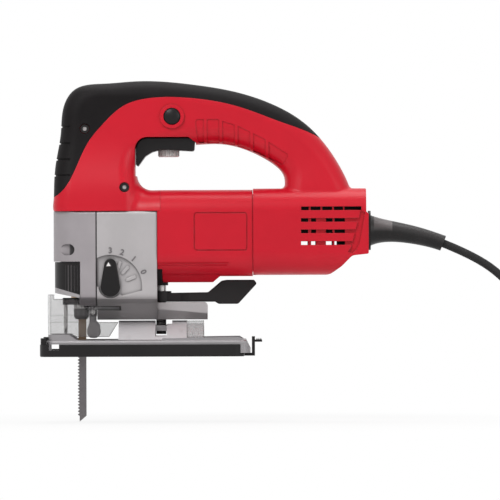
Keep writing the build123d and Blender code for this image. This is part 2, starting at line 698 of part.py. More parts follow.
def make_release_lever():
    ring = nose_plan(RELEASE_INSET, 0, RELEASE_TOP) - nose_plan(RELEASE_WALL, 0, RELEASE_TOP)
    side = side_slab(
        ((NOSE_FRONT - 5, release_line(NOSE_FRONT - 5, 0)), (RELEASE_REAR, release_line(RELEASE_REAR, 0)),
         (RELEASE_REAR, RELEASE_TOP), (NOSE_FRONT - 5, RELEASE_TOP)),
        -2 * CASE_HALF, 2 * CASE_HALF)
    barrel = rod_z(0, RELEASE_TOP, RELEASE_BARREL, RELEASE_HINGE_X, RELEASE_HINGE_Y)
    hook = ring - block(NOSE_FRONT - 1, 0, RELEASE_HINGE_Y - 0.6, 2 * CASE_HALF, 0, CASE_TOP)
    lever = (hook + barrel) & side
    lever = lever - rod_z(0, CASE_TOP, RELEASE_PIN + FIT, RELEASE_HINGE_X, RELEASE_HINGE_Y)
    for rib in range(RELEASE_RIBS):
        x = RELEASE_REAR - 2.0 - 2.3 * rib
        lever = lever - block(x - 0.5, x + 0.5, -2 * CASE_HALF, RELEASE_INSET + 1.2 - CASE_HALF,
                              RELEASE_LOW_REAR + 4.5, RELEASE_TOP - 2)
    return lever


def make_release_pin():
    low = release_line(RELEASE_HINGE_X, 0.4)
    return rod_z(low, RELEASE_TOP + 6.5, RELEASE_PIN, RELEASE_HINGE_X, RELEASE_HINGE_Y)


def make_plunger_seal():
    x0, x1, z0, z1 = SEAL
    half = GUARD_WIDE - GUARD_WALL - 0.6
    seal = block(x0, x1, -half, half, z0, z1)
    seal = fillet(seal.edges().filter_by(Axis.Z), 2.5)
    return seal - rod_z(z0, z1, PLUNGER_RADIUS + 2 * GAP, PLUNGER_X)


# Plunger, yoke and blade

def make_plunger():
    rod = rod_z(PLUNGER_LOW, PLUNGER_HIGH, PLUNGER_RADIUS, PLUNGER_X)
    rod = chamfer(rod.edges().group_by(Axis.Z)[-1], 0.8)
    return rod - block(BLADE_FRONT - 1.2, BLADE_BACK + 1.4, -BLADE_HALF - SEAT, BLADE_HALF + SEAT, 0,
                       BLADE_TOP + 0.5)


def make_blade_clamp():
    collar = rod_z(CLAMP_LOW, PLUNGER_LOW, PLUNGER_RADIUS, PLUNGER_X)
    collar = chamfer(collar.edges().group_by(Axis.Z)[0], CLAMP_TAPER, 1.4)
    return collar - block(BLADE_FRONT - 1.2, BLADE_BACK + 1.4, -BLADE_HALF - SEAT, BLADE_HALF + SEAT, 0,
                          BLADE_TOP)


def make_yoke():
    bar = block(YOKE_FRONT, YOKE_REAR, -YOKE_HALF, YOKE_HALF, YOKE_Z - YOKE_HALF_HEIGHT,
                YOKE_Z + YOKE_HALF_HEIGHT)
    bar = fillet(bar.edges().filter_by(Axis.X), 2.0)
    track = CRANK_RADIUS + CRANK_PIN + 0.4
    bar = bar - block(YOKE_REAR - 3.4, YOKE_REAR + 1, -track, track, YOKE_Z - CRANK_PIN + 0.1,
                      YOKE_Z + CRANK_PIN - 0.1)
    return bar - rod_z(0, CASE_TOP, PLUNGER_RADIUS, PLUNGER_X)


def make_bush(span):
    low, high = span
    return rod_z(low, high, PLUNGER_RADIUS + BUSH_WALL, PLUNGER_X) - rod_z(low, high, PLUNGER_RADIUS + FIT,
                                                                           PLUNGER_X)


def make_blade():
    """T-shank blade: lugged shank, plain neck, teeth that point up and forward, and a slanted tip."""
    neck = 12.0
    points = [(SHANK_FRONT, BLADE_TOP), (SHANK_FRONT, 39.0), (BLADE_FRONT - 0.8, 38.6),
              (BLADE_FRONT - 0.8, 35.6),
              (SHANK_FRONT, 34.4), (SHANK_FRONT, neck + 2)]
    for tooth in range(TEETH):
        z = neck - tooth * TOOTH_PITCH
        points.append((BLADE_FRONT, z))
        points.append((BLADE_FRONT + TOOTH_DEPTH, z - 0.5 * TOOTH_PITCH))
    points += [(BLADE_FRONT + TOOTH_DEPTH, BLADE_TIP), (BLADE_BACK, BLADE_TIP + 4.6), (BLADE_BACK, 34.4),
               (BLADE_BACK + 1.0, 35.6), (BLADE_BACK + 1.0, 38.6), (BLADE_BACK, 39.0),
               (BLADE_BACK, BLADE_TOP)]
    return side_slab(points, -BLADE_HALF, BLADE_HALF)


# Gear train and motor

def make_drive_gear():
    gap_on_top = math.pi / GEAR_TEETH
    wheel = toothed_wheel(GEAR_TEETH, GEAR_FRONT, GEAR_REAR, GEAR_Z, gap_on_top, AXLE_RADIUS + FIT)
    hub = rod_x(GEAR_REAR - 1, GEAR_HUB_REAR, GEAR_HUB, z=GEAR_Z) - rod_x(GEAR_REAR - 2, 0,
                                                                          AXLE_RADIUS + FIT, z=GEAR_Z)
    dish = rod_x(GEAR_FRONT - 1, GEAR_FRONT + 2.5, 18.5, z=GEAR_Z) - rod_x(GEAR_FRONT - 2, GEAR_FRONT + 3,
                                                                           16.5, z=GEAR_Z)
    wheel = wheel + hub - dish + counterweight()
    return wheel - rod_x(GEAR_FRONT - 1, GEAR_REAR, CRANK_PIN, z=GEAR_Z - CRANK_RADIUS)


def make_crank_pin():
    pin = rod_x(CRANK_TIP, GEAR_REAR - 1, CRANK_PIN, z=GEAR_Z - CRANK_RADIUS)
    return chamfer(pin.edges().group_by(Axis.X)[0], 0.6)


def counterweight():
    """Half disc cast on the gear's front, across from the crank pin."""
    ring = rod_x(GEAR_FRONT - COUNTERWEIGHT_THICK, GEAR_FRONT, COUNTERWEIGHT_RADIUS, z=GEAR_Z)
    ring = ring - rod_x(GEAR_FRONT - COUNTERWEIGHT_THICK - 1, GEAR_FRONT + 1, AXLE_RADIUS + 2, z=GEAR_Z)
    return ring & block(GEAR_FRONT - 10, GEAR_FRONT, -COUNTERWEIGHT_RADIUS, COUNTERWEIGHT_RADIUS, GEAR_Z + 1,
                        CASE_TOP)


def make_gear_axle():
    return rod_x(GEAR_FRONT, CASE_REAR - 2, AXLE_RADIUS, z=GEAR_Z)


def make_armature_shaft():
    shaft = rod_x(GEAR_REAR + 0.5, SHAFT_REAR, SHAFT_RADIUS, z=MOTOR_Z)
    nose = rod_x(SHAFT_FRONT, GEAR_REAR + 0.5, SHAFT_RADIUS - 1.1, z=MOTOR_Z)
    pinion = toothed_wheel(PINION_TEETH, GEAR_FRONT - 0.5, GEAR_REAR + 0.5, MOTOR_Z, math.pi)
    return shaft + nose + pinion


def make_ring(span, bore, z=MOTOR_Z):
    """A bearing or collar between two X faces."""
    front, rear, radius = span
    ring = rod_x(front, rear, radius, z=z) - rod_x(front, rear, bore, z=z)
    return fillet(ring.edges().filter_by(GeomType.CIRCLE), 0.5)


def make_armature_stack():
    stack = rod_x(STACK_FRONT, STACK_REAR, ARMATURE_RADIUS, z=MOTOR_Z) - rod_x(STACK_FRONT, STACK_REAR,
                                                                               SHAFT_RADIUS, z=MOTOR_Z)
    slot = Part()
    for place in range(12):
        cut = block(STACK_FRONT, STACK_REAR, -0.9, 0.9, ARMATURE_RADIUS - 2.2, ARMATURE_RADIUS + 1)
        slot = slot + Pos(0, 0, MOTOR_Z) * Rot(30 * place, 0, 0) * cut
    return stack - slot


def make_armature_windings():
    coils = Part()
    for x0, x1 in ((STACK_FRONT - WINDING_END - 1, STACK_FRONT), (STACK_REAR, STACK_REAR + WINDING_END + 2)):
        coil = rod_x(x0, x1, ARMATURE_RADIUS - 1.2, z=MOTOR_Z) - rod_x(x0, x1, SHAFT_RADIUS, z=MOTOR_Z)
        coils = coils + fillet(coil.edges().filter_by(GeomType.CIRCLE).sort_by(SortBy.RADIUS)[-2:], 2.4)
    return coils


def make_cooling_fan():
    plate = rod_x(FAN_FRONT, FAN_FRONT + 1.8, FAN_RADIUS, z=MOTOR_Z)
    hub = rod_x(FAN_FRONT, FAN_REAR, 8.0, z=MOTOR_Z)
    fan = plate + hub
    for place in range(FAN_BLADES):
        vane = block(FAN_FRONT + 1, FAN_REAR - 1, -0.8, 0.8, 9.5, FAN_RADIUS - 0.5)
        turn = Rot(360 * place / FAN_BLADES, 0, 0)
        fan = fan + Pos(0, 0, MOTOR_Z) * turn * Pos(0, 4, 0) * vane
    return fan - rod_x(FAN_FRONT - 1, FAN_REAR + 1, SHAFT_RADIUS, z=MOTOR_Z)


def make_field_stack():
    stack = round_bar(STACK_FRONT, STACK_REAR, FIELD_HALF, MOTOR_Z - FIELD_HALF, MOTOR_Z + FIELD_HALF, 14.0)
    bore = rod_x(STACK_FRONT, STACK_REAR, ARMATURE_RADIUS + AIR_GAP, z=MOTOR_Z)
    windows = both_sides(block(STACK_FRONT, STACK_REAR, 12.0, 25.0, MOTOR_Z - 8.5, MOTOR_Z + 8.5))
    return stack - bore - windows


def make_field_coils():
    """Two coils: straight sides in the windows, joined by end turns that arch over and under."""
    coils = Part()
    inner = ARMATURE_RADIUS + AIR_GAP + 1.0
    for low, high in ((0.5, 8.2), (-8.2, -0.5)):
        bars = both_sides(block(STACK_FRONT - WINDING_END, STACK_REAR + WINDING_END, inner, 24.6,
                                MOTOR_Z + low, MOTOR_Z + high))
        half = (0.5, 25.0) if low > 0 else (-25.0, -0.5)
        for x0 in (STACK_FRONT - WINDING_END, STACK_REAR + 0.3):
            turn = rod_x(x0, x0 + WINDING_END - 0.3, 24.6, z=MOTOR_Z) - rod_x(x0, x0 + WINDING_END - 0.3,
                                                                              inner, z=MOTOR_Z)
            bars = bars + (turn & block(x0, x0 + WINDING_END, -25, 25, MOTOR_Z + half[0], MOTOR_Z + half[1]))
        coils = coils + bars
    return coils


def make_brush_carrier():
    front, rear, radius = CARRIER
    plate = rod_x(front, rear, radius, z=MOTOR_Z)
    cup = rod_x(rear - 1, REAR_BEARING[1], REAR_BEARING[2] + 3, z=MOTOR_Z)
    carrier = plate + cup
    carrier = carrier - rod_x(REAR_BEARING[0], REAR_BEARING[1] + 1, REAR_BEARING[2] + FIT, z=MOTOR_Z)
    carrier = carrier - rod_x(front - 1, REAR_BEARING[1] + 1, SHAFT_RADIUS + 1.5, z=MOTOR_Z)
    for side in (-1, 1):
        carrier = carrier - rod_x(front - 1, rear + 1, 7.0, 0, MOTOR_Z + side * 20)
    return carrier


def make_brush_holders():
    holder = block(BRUSH_X - 4.5, CARRIER[0], 12.6, 27.0, MOTOR_Z - 5.5, MOTOR_Z + 5.5)
    holder = holder - block(BRUSH_X - 3.1, BRUSH_X + 3.1, 12, 28, MOTOR_Z - 4.1, MOTOR_Z + 4.1)
    return both_sides(holder)


def make_brushes():
    brush = block(BRUSH_X - 3, BRUSH_X + 3, COMMUTATOR[2] - 1, 20.0, MOTOR_Z - 4, MOTOR_Z + 4)
    return both_sides(brush - rod_x(0, SHAFT_REAR, COMMUTATOR[2] + GAP, z=MOTOR_Z))


def make_brush_springs():
    leaf = block(BRUSH_X - 2.6, BRUSH_X + 2.6, 20.0, 26.6, MOTOR_Z - 2.4, MOTOR_Z + 2.4)
    leaf = leaf - block(BRUSH_X - 1.9, BRUSH_X + 1.9, 20.8, 25.8, MOTOR_Z - 5, MOTOR_Z + 5)
    return both_sides(leaf)


def housing_bar(x0, x1, inset):
    return round_bar(x0, x1, HOUSING_HALF - inset, HOUSING_LOW + inset, HOUSING_HIGH - inset,
                     HOUSING_CORNER - inset)


def housing_lip(x0, x1, outer, inner):
    """A ring that follows the housing's section between two insets."""
    return housing_bar(x0, x1, outer) - housing_bar(x0 - 1, x1 + 1, inner)


def make_motor_housing():
    barrel = housing_bar(HOUSING_FRONT, HOUSING_REAR, 0)
    flank = HOUSING_HALF - 0.4
    keel = cross_slab(mirrored(((flank, KEEL_CREASE + 6), (flank, KEEL_CREASE), (KEEL_HALF, KEEL_LOW))),
                      HOUSING_FRONT, HOUSING_REAR, (0, 3, 4, 4, 3, 0))
    keel = keel & side_slab(
        ((7.0, KEEL_CREASE), (11.0, KEEL_LOW), (49.5, KEEL_LOW), (55.0, HOUSING_LOW), (62.0, KEEL_CREASE)),
        -HOUSING_HALF, HOUSING_HALF)
    shell = barrel + keel - housing_bar(HOUSING_FRONT, HOUSING_REAR, HOUSING_WALL)
    wall = HOUSING_HALF - HOUSING_WALL + 0.5
    for z in (-12.0, 12.0):
        rib = block(STACK_FRONT + 2, STACK_REAR - 2, FIELD_HALF + SEAT, wall, MOTOR_Z + z - 1.5,
                    MOTOR_Z + z + 1.5)
        shell = shell + both_sides(rib)
    low = block(STACK_FRONT + 2, STACK_REAR - 2, -12, 12, HOUSING_LOW + 1, MOTOR_Z - FIELD_HALF - SEAT)
    sill = block(HOUSING_FRONT, STOP_REAR + 3, -STOP_HALF - 3, STOP_HALF + 3,
                 HOUSING_LOW + 1, MOTOR_Z - FAN_RADIUS - 2 * GAP)
    shell = shell + low + sill
    shell = shell - block(HOUSING_FRONT - 1, STOP_REAR + SEAT, -STOP_HALF - SEAT, STOP_HALF + SEAT, 0,
                          STOP_HIGH + SEAT)
    shell = shell - block(HOUSING_FRONT - 1, STOP_FACE + SEAT, -HOUSING_HALF, HOUSING_HALF, 0,
                          STOP_WING_TOP + SEAT)
    edge = HOOD_REAR + SEAT
    shell = shell - block(HOUSING_FRONT - 1, edge, -HOUSING_HALF, HOUSING_HALF, CASE_TOP + SEAT,
                          HOUSING_HIGH + 1)
    lip = housing_lip(edge - SPIGOT_DEPTH, edge + 3, HOUSING_WALL + SEAT, HOUSING_WALL + 2)
    lip = lip + housing_lip(edge + 0.2, edge + 3, 1.0, HOUSING_WALL + 2)
    shell = shell + (lip & block(0, 20, -HOUSING_HALF, HOUSING_HALF, CASE_TOP + 0.6, HOUSING_HIGH))
    return shell - panel_frame(HOUSING_HALF)


def panel_frame(half):
    """Groove that frames the bare panel on each flank."""
    x0, x1, z0, z1 = PANEL
    frame = Part()
    for grow in (0.0, -PANEL_GROOVE):
        sheet = RectangleRounded(x1 - x0 + 2 * grow, z1 - z0 + 2 * grow, 2.6 + grow)
        sheet = Plane.XZ * Pos((x0 + x1) / 2, (z0 + z1) / 2) * sheet
        solid = extrude(sheet, amount=2 * half, both=True)
        frame = solid if grow == 0.0 else frame - solid
    return frame - block(x0 - 1, x1 + 1, 0.7 - half, half - 0.7, z0 - 1, z1 + 1)


# Handle

def handle_section(section, inset):
    (outer_x, outer_z), (inner_x, inner_z), half = section
    across = Vector(outer_x - inner_x, 0, outer_z - inner_z)
    along = across.normalized()
    plane = Plane(origin=((outer_x + inner_x) / 2, 0, (outer_z + inner_z) / 2), x_dir=along,
                  z_dir=(along.Z, 0, -along.X))
    return plane * RectangleRounded(across.length - 2 * inset, 2 * (half - inset), HANDLE_ROUND - inset)


@functools.lru_cache(maxsize=None)
def handle_loop(inset):
    """The loop from the nose column over the hand hole and down into the rear block."""
    return loft([handle_section(section, inset) for section in HANDLE_SECTIONS])


def rear_block(inset):
    bar = round_bar(BLOCK_FRONT, BLOCK_REAR - inset, BLOCK_HALF - inset, BLOCK_LOW + inset,
                    BLOCK_HIGH - inset,
                    BLOCK_CORNER - inset)
    rear = BLOCK_REAR - inset
    top_rear = 168.6 - inset
    profile = side_slab(
        ((BLOCK_FRONT, BLOCK_HIGH - inset), (top_rear, BLOCK_HIGH - inset), (top_rear, 112.0), (rear, 110.0),
         (rear, 79.2 + inset), (157.6, 77.8 + inset), (149.6, 69.6 + inset), (140.0, BLOCK_LOW + inset),
         (BLOCK_FRONT, BLOCK_LOW + inset)),
        -BLOCK_HALF, BLOCK_HALF, (0, 1.0, 0, 0, 1.0, 6.0, 8.0, 10.0, 0))
    return bar & profile


def vent_slots():
    slots = Part()
    for row, z in enumerate(VENT_ROWS):
        low = z - VENT_HEIGHT / 2
        high = z + VENT_HEIGHT / 2
        slots = slots + block(VENT_START, VENT_ENDS[row], -BLOCK_HALF - 1, VENT_GROOVE - BLOCK_HALF, low,
                              high)
        for x0, x1 in VENT_TOP_SLOTS if row == 0 else VENT_SLOTS:
            slots = slots + block(x0, x1, -BLOCK_HALF - 1, VENT_DEPTH - BLOCK_HALF, low, high)
    channel = side_slab(REAR_CHANNEL, -BLOCK_HALF - 1, CHANNEL_DEPTH - BLOCK_HALF)
    return both_sides(slots + channel)


def hood():
    """Lower end of the handle that covers the gear case, up to the motor housing's seam."""
    sections = []
    ends = ((HOOD_FRONT, HOOD_FRONT_HALF, HOUSING_HIGH - 0.6), (HOOD_REAR, HOUSING_HALF, HOUSING_HIGH))
    for x, half, high in ends:
        sheet = RectangleRounded(2 * half, high - HOUSING_LOW, HOUSING_CORNER)
        sections.append(Plane.YZ.offset(x) * Pos(0, (high + HOUSING_LOW) / 2) * sheet)
    cap = loft(sections, ruled=True)
    return cap & block(HOOD_FRONT, HOOD_REAR, -HOUSING_HALF, HOUSING_HALF, CASE_TOP + 2 * SEAT, HOUSING_HIGH)


def is_cove(edge):
    """True for the edges where the hood leaves the column."""
    box = edge.bounding_box()
    rises = box.max.Z > CASE_TOP + 1 and box.max.Z < HOUSING_HIGH
    return rises and box.min.X > HOOD_FRONT + 2 and box.max.X < 0


def grip_region():
    """Everything outside the edge of the soft grip, right across the handle."""
    edge = Spline(*[(x, -60, z) for x, z in GRIP_EDGE])
    first = GRIP_EDGE[0]
    last = GRIP_EDGE[-1]
    rest = Polyline((last[0], -60, last[1]), (200, -60, last[1]), (200, -60, 240), (-120, -60, 240),
                    (-120, -60, first[1]), (first[0], -60, first[1]))
    return extrude(Face(Wire([edge] + list(rest.edges()))), amount=120, dir=(0, 1, 0))


def nose_grooves(skin):
    """Short level grooves across the front of the soft grip."""
    grooves = Part()
    for z in NOSE_GROOVES:
        grooves = grooves + block(-90, -61, -60, 60, z - 0.7, z + 0.7)
    return grooves & skin


def screw_bores():
    bores = Part()
    for x, z, seat in SCREW_PLACES:
        bores = bores + rod_y(-60, seat, SCREW_HEAD + 0.5, x, z)
        bores = bores + rod_y(seat - 1, SCREW_TIP + 1, SCREW_SHANK + SEAT, x, z)
    return bores


def make_handle_screws():
    screws = Part()
    for x, z, seat in SCREW_PLACES:
        head = rod_y(seat - 3.0, seat, SCREW_HEAD, x, z)
        head = head - block(x - 0.55, x + 0.55, seat - 4, seat - 1.4, z - 2.3, z + 2.3)
        head = head - block(x - 2.3, x + 2.3, seat - 4, seat - 1.4, z - 0.55, z + 0.55)
        screws = screws + head + rod_y(seat, SCREW_TIP, SCREW_SHANK, x, z)
    return screws


def trigger_room():
    """Notch across the handle that shows the trigger, and the slot that it slides up into."""
    x0 = TRIGGER_FRONT - 0.6
    x1 = TRIGGER_REAR + 0.6
    notch = side_slab(
        ((x0, 140), (x0, TRIGGER_RECESS), (x1 - 5.8, TRIGGER_RECESS), (x1, TRIGGER_RECESS - 4.4), (x1, 140)),
        -60, 60, (0, 9.5, 1.0, 1.0, 0))
    return notch + block(x0, x1, -TRIGGER_HALF - GAP, TRIGGER_HALF + GAP, 140, SWITCH[2] + 1)


def handle_shell():
    """Both halves together, with their openings."""
    body = handle_loop(0) + hood()
    body = fillet(body.edges().filter_by(is_cove), HAND_COVE)
    body = body + rear_block(0)
    body = fillet(body.edges().filter_by(is_root), ROOT_ROUND)
    body = body - handle_loop(HANDLE_WALL) - rear_block(HOUSING_WALL)
    body = body - housing_bar(HOOD_FRONT, HOOD_REAR + 1, HOUSING_WALL)
    for x, z, seat in SCREW_PLACES:
        post = rod_y(-45, 45, SCREW_HEAD + 2.6, x, z) & handle_loop(0.5)
        body = body + post
    front, rear, radius = CARRIER
    rib = rear_block(0.5) & block(front, rear, -BLOCK_HALF, BLOCK_HALF, 0, 2 * BLOCK_HIGH)
    body = body + (rib - rod_x(front - 1, rear + 1, radius + SEAT, z=MOTOR_Z))
    body = body + (rear_block(0.5) & block(*SCREEN))
    lip = housing_lip(BLOCK_FRONT - SPIGOT_DEPTH, BLOCK_FRONT + 3, HOUSING_WALL + SEAT, HOUSING_WALL + 2)
    lip = lip + housing_lip(BLOCK_FRONT + 0.2, BLOCK_FRONT + 3, 1.0, HOUSING_WALL + 2)
    body = body + lip
    boss = rod_y(LOCK_FACE + 1.4, 0, LOCK_BOSS, LOCK_X, LOCK_Z) - handle_loop(HANDLE_WALL)
    body = body + boss - rod_y(-60, -SWITCH_HALF + 1, LOCK_RADIUS + GAP, LOCK_X, LOCK_Z)
    body = body - trigger_room() - vent_slots()
    body = body - rod_x(BLOCK_REAR - 12, BLOCK_REAR + 1, 8.3, z=GUARD_SECTIONS[0][1])
    return body - screw_bores()


def is_root(edge):
    """True for the edge where the loop rises from the top of the rear block."""
    box = edge.bounding_box()
    flat = abs(box.min.Z - BLOCK_HIGH) < 0.01 and abs(box.max.Z - BLOCK_HIGH) < 0.01
    return flat and edge.geom_type != GeomType.LINE


def finger_panel():
    """Shallow recess for the fingers, crossed by upright ribs, on each side of the grip."""
    panel = side_slab(FINGER_PANEL, -60, 60, 2.0) - block(0, 200, -9, 9, 100, 240)
    for x in FINGER_RIBS:
        panel = panel - block(x - 1.2, x + 1.2, -60, 60, 100, 240)
    return panel & (handle_loop(-0.5) - handle_loop(FINGER_DEPTH))


def make_handle():
    """Left and right shell and the soft grip on each."""
    skin = (handle_loop(0) - handle_loop(GRIP_THICK)) & grip_region()
    skin = skin - screw_bores()
    recess = (handle_loop(-1) - handle_loop(GRIP_THICK + FIT)) & grip_region()
    shell = handle_shell() - finger_panel() - recess
    skin = skin - nose_grooves(handle_loop(-1) - handle_loop(0.9))
    left = block(-200, 300, -60, 0, 0, 300)
    right = block(-200, 300, 0, 60, 0, 300)
    return {
        "handle_left": shell & left,
        "handle_right": shell & right,
        "grip_left": skin & left,
        "grip_right": skin & right,
    }


# Controls

def make_trigger():
    shape = side_slab(
        ((TRIGGER_FRONT, TRIGGER_TOP), (TRIGGER_FRONT, 149.0), (-8.6, 147.4), (-6.2, 150.6), (-2.8, 155.4),
         (2.4, 158.6), (8.0, 160.2), (14.0, 160.4), (TRIGGER_REAR - 0.6, 159.2), (TRIGGER_REAR, TRIGGER_TOP)),
        -TRIGGER_HALF, TRIGGER_HALF, (9.0, 0.8, 0.8, 4.0, 5.0, 5.0, 5.0, 5.0, 2.0, 1.0))
    shape = fillet(shape.faces().filter_by(Axis.Y).edges(), 0.7)
    return shape - rod_z(DIAL_LOW - 5, DIAL_HIGH + GAP, DIAL_RADIUS + GAP, DIAL_X)


def make_speed_dial():
    dial = rod_z(DIAL_LOW, DIAL_HIGH, DIAL_RADIUS, DIAL_X)
    dial = chamfer(dial.edges().filter_by(GeomType.CIRCLE), 0.8)
    flutes = Part()
    for place in range(DIAL_FLUTES):
        angle = 2 * math.pi * place / DIAL_FLUTES
        reach = DIAL_RADIUS + 0.25
        flutes = flutes + rod_z(DIAL_LOW - 1, DIAL_HIGH + 1, DIAL_FLUTE, DIAL_X + reach * math.cos(angle),
                                reach * math.sin(angle))
    return dial - flutes


def make_lock_button():
    button = rod_y(LOCK_FACE, -SWITCH_HALF - 1.4, LOCK_RADIUS, LOCK_X, LOCK_Z)
    button = button & Pos(LOCK_X, LOCK_FACE + LOCK_DOME, LOCK_Z) * Sphere(LOCK_DOME)
    return fillet(button.edges().filter_by(GeomType.CIRCLE), 0.9)


def make_switch_body():
    x0, x1, z0, z1 = SWITCH
    case = block(x0, x1, -SWITCH_HALF, SWITCH_HALF, z0, z1)
    case = fillet(case.edges().filter_by(Axis.Y), 2.0)
    return case - rod_y(-SWITCH_HALF - 1, -SWITCH_HALF + LOCK_TRAVEL + 1, LOCK_RADIUS + GAP, LOCK_X, LOCK_Z)


def make_orbit_knob():
    grip_low = POCKET_FLOOR - 1.3
    hub = rod_y(KNOB_FACE, POCKET_FLOOR - 0.2, KNOB_RADIUS, KNOB_X, KNOB_Z)
    nose = rod_y(KNOB_FACE, grip_low, KNOB_NOSE, KNOB_X, KNOB_Z + KNOB_REACH)
    tilt = (KNOB_RADIUS - KNOB_NOSE) / KNOB_REACH
    lean = math.sqrt(1 - tilt * tilt)
    web = side_slab(
        ((KNOB_X - KNOB_RADIUS * lean, KNOB_Z + KNOB_RADIUS * tilt),
         (KNOB_X + KNOB_RADIUS * lean, KNOB_Z + KNOB_RADIUS * tilt),
         (KNOB_X + KNOB_NOSE * lean, KNOB_Z + KNOB_REACH + KNOB_NOSE * tilt),
         (KNOB_X - KNOB_NOSE * lean, KNOB_Z + KNOB_REACH + KNOB_NOSE * tilt)),
        KNOB_FACE, grip_low)
    knob = hub + nose + web
    knob = fillet(knob.faces().sort_by(Axis.Y)[0].edges(), 0.8)
    return knob + knob_spindle()


def knob_spindle():
    """Spindle moulded on the knob, with the flat that pushes the roller arm."""
    shaft = rod_y(POCKET_FLOOR - 1.0, -CASE_CAVITY_HALF + 2.6, KNOB_SHAFT, KNOB_X, KNOB_Z)
    flat = block(KNOB_X - 10, KNOB_X - 1.5, -CASE_CAVITY_HALF, -CASE_CAVITY_HALF + 5, KNOB_Z - 10,
                 KNOB_Z + 10)
    return shaft - flat


# Roller guide

def make_roller_arm():
    plate = side_slab(
        ((-46.9, 38.2), (-41.5, 38.2), (-41.5, 27.4), (-38.8, 24.5), (-38.8, 17.0), (-41.2, 14.2),
         (-46.4, 14.2),
         (-48.3, 16.6), (-48.3, 22.4), (-46.9, 26.0)), *ARM_PLATE,
     (1.5, 1.0, 1.0, 1.5, 2.0, 2.0, 2.0, 2.0, 2.0, 1.5))
    bridge = block(-46.4, -41.5, -ARM_PLATE[0], ARM_PLATE[0], 26.6, 31.0)
    arm = both_sides(plate) + bridge
    arm = arm - rod_y(-CASE_HALF, CASE_HALF, PIVOT_PIN + FIT, PIVOT_X, PIVOT_Z)
    return arm + rod_y(-ARM_PLATE[1], ARM_PLATE[1], ROLLER_PIN, ROLLER_X, ROLLER_Z)


def make_guide_roller():
    roller = rod_y(-ROLLER_HALF, ROLLER_HALF, ROLLER_RADIUS, ROLLER_X, ROLLER_Z)
    roller = chamfer(roller.edges().filter_by(GeomType.CIRCLE), 0.6)
    groove = rod_y(-0.9, 0.9, ROLLER_RADIUS + 1, ROLLER_X, ROLLER_Z) - rod_y(-1, 1, ROLLER_RADIUS - 0.7,
                                                                             ROLLER_X, ROLLER_Z)
    return roller - groove - rod_y(-CASE_HALF, CASE_HALF, ROLLER_PIN + FIT, ROLLER_X, ROLLER_Z)


def make_pivot_pin():
    return rod_y(-ARM_PLATE[1] - 2.9, ARM_PLATE[1] + 2.9, PIVOT_PIN, PIVOT_X, PIVOT_Z)


# Foot clamp

def make_clamp_bolt():
    return rod_z(BOLT_LOW, STOP_HIGH - 1, BOLT_RADIUS, BOLT_X)


def make_clamp_nut():
    x0 = BOLT_X - 5.5
    x1 = BOLT_X + 8.5
    nut = rod_x(x0, x1, SADDLE_RADIUS - SADDLE_WALL - GAP)
    nut = nut & block(x0, x1, -NUT_HALF, NUT_HALF, BOLT_LOW + 2.6, SADDLE_RADIUS)
    return nut - rod_z(0, SADDLE_RADIUS, BOLT_RADIUS, BOLT_X)


def make_bolt_block():
    stop = block(CASE_REAR + SEAT, STOP_REAR, -STOP_HALF, STOP_HALF, STOP_LOW, STOP_HIGH)
    stop = fillet(stop.edges().filter_by(Axis.Z).group_by(Axis.X)[-1], 2.0)
    wing = cross_slab(mirrored(((STOP_WING, STOP_WING_TOP), (STOP_HALF + 4, STOP_LOW))), CASE_REAR + SEAT,
                      STOP_FACE)
    return stop + wing - rod_z(0, STOP_HIGH - 1, BOLT_RADIUS, BOLT_X)


def make_clamp_lever():
    hub = rod_z(LEVER_LOW, LEVER_HIGH + 1.5, LEVER_HUB, BOLT_X)
    arm = side_slab(((BOLT_X, LEVER_LOW), (BOLT_X, LEVER_HIGH), (45.6, 49.5), (56.1, 58.4), (60.0, 59.1),
                     (81.5, 59.1),
                     (83.7, 56.2), (69.1, 40.4), (54.0, 40.4), (51.0, LEVER_LOW)), -LEVER_HALF, LEVER_HALF,
                    (0, 0, 3.0, 2.0, 2.0, 1.5, 1.5, 3.0, 1.0, 1.0))
    arm = fillet(arm.faces().filter_by(Axis.Y).edges().filter_by(lambda edge: edge.center().X > BOLT_X + 1),
                 1.0)
    plan = ((BOLT_X, -LEVER_NECK), (24.0, -LEVER_NECK), (31.0, -LEVER_HALF), (95.0, -LEVER_HALF),
            (95.0, LEVER_HALF), (31.0, LEVER_HALF), (24.0, LEVER_NECK), (BOLT_X, LEVER_NECK))
    lever = hub + (arm & plan_slab(plan, 0, CASE_TOP))
    return lever - rod_z(0, CASE_TOP, BOLT_RADIUS + FIT, BOLT_X)


# Clear guard and wire guard

def guard_walls(x0, x1, top):
    """Both side walls: narrow low down, so that the foot can tilt under them, and flared above."""
    outer = ((GUARD_NARROW, GUARD_LOW), (GUARD_NARROW, GUARD_KNEE), (GUARD_WIDE, GUARD_FLARE),
             (GUARD_WIDE, top))
    inner = ((GUARD_WIDE - GUARD_WALL, top), (GUARD_WIDE - GUARD_WALL, GUARD_FLARE + 0.4),
             (GUARD_NARROW - GUARD_WALL, GUARD_KNEE + 0.4), (GUARD_NARROW - GUARD_WALL, GUARD_LOW))
    return both_sides(cross_slab(outer + inner, x0, x1))


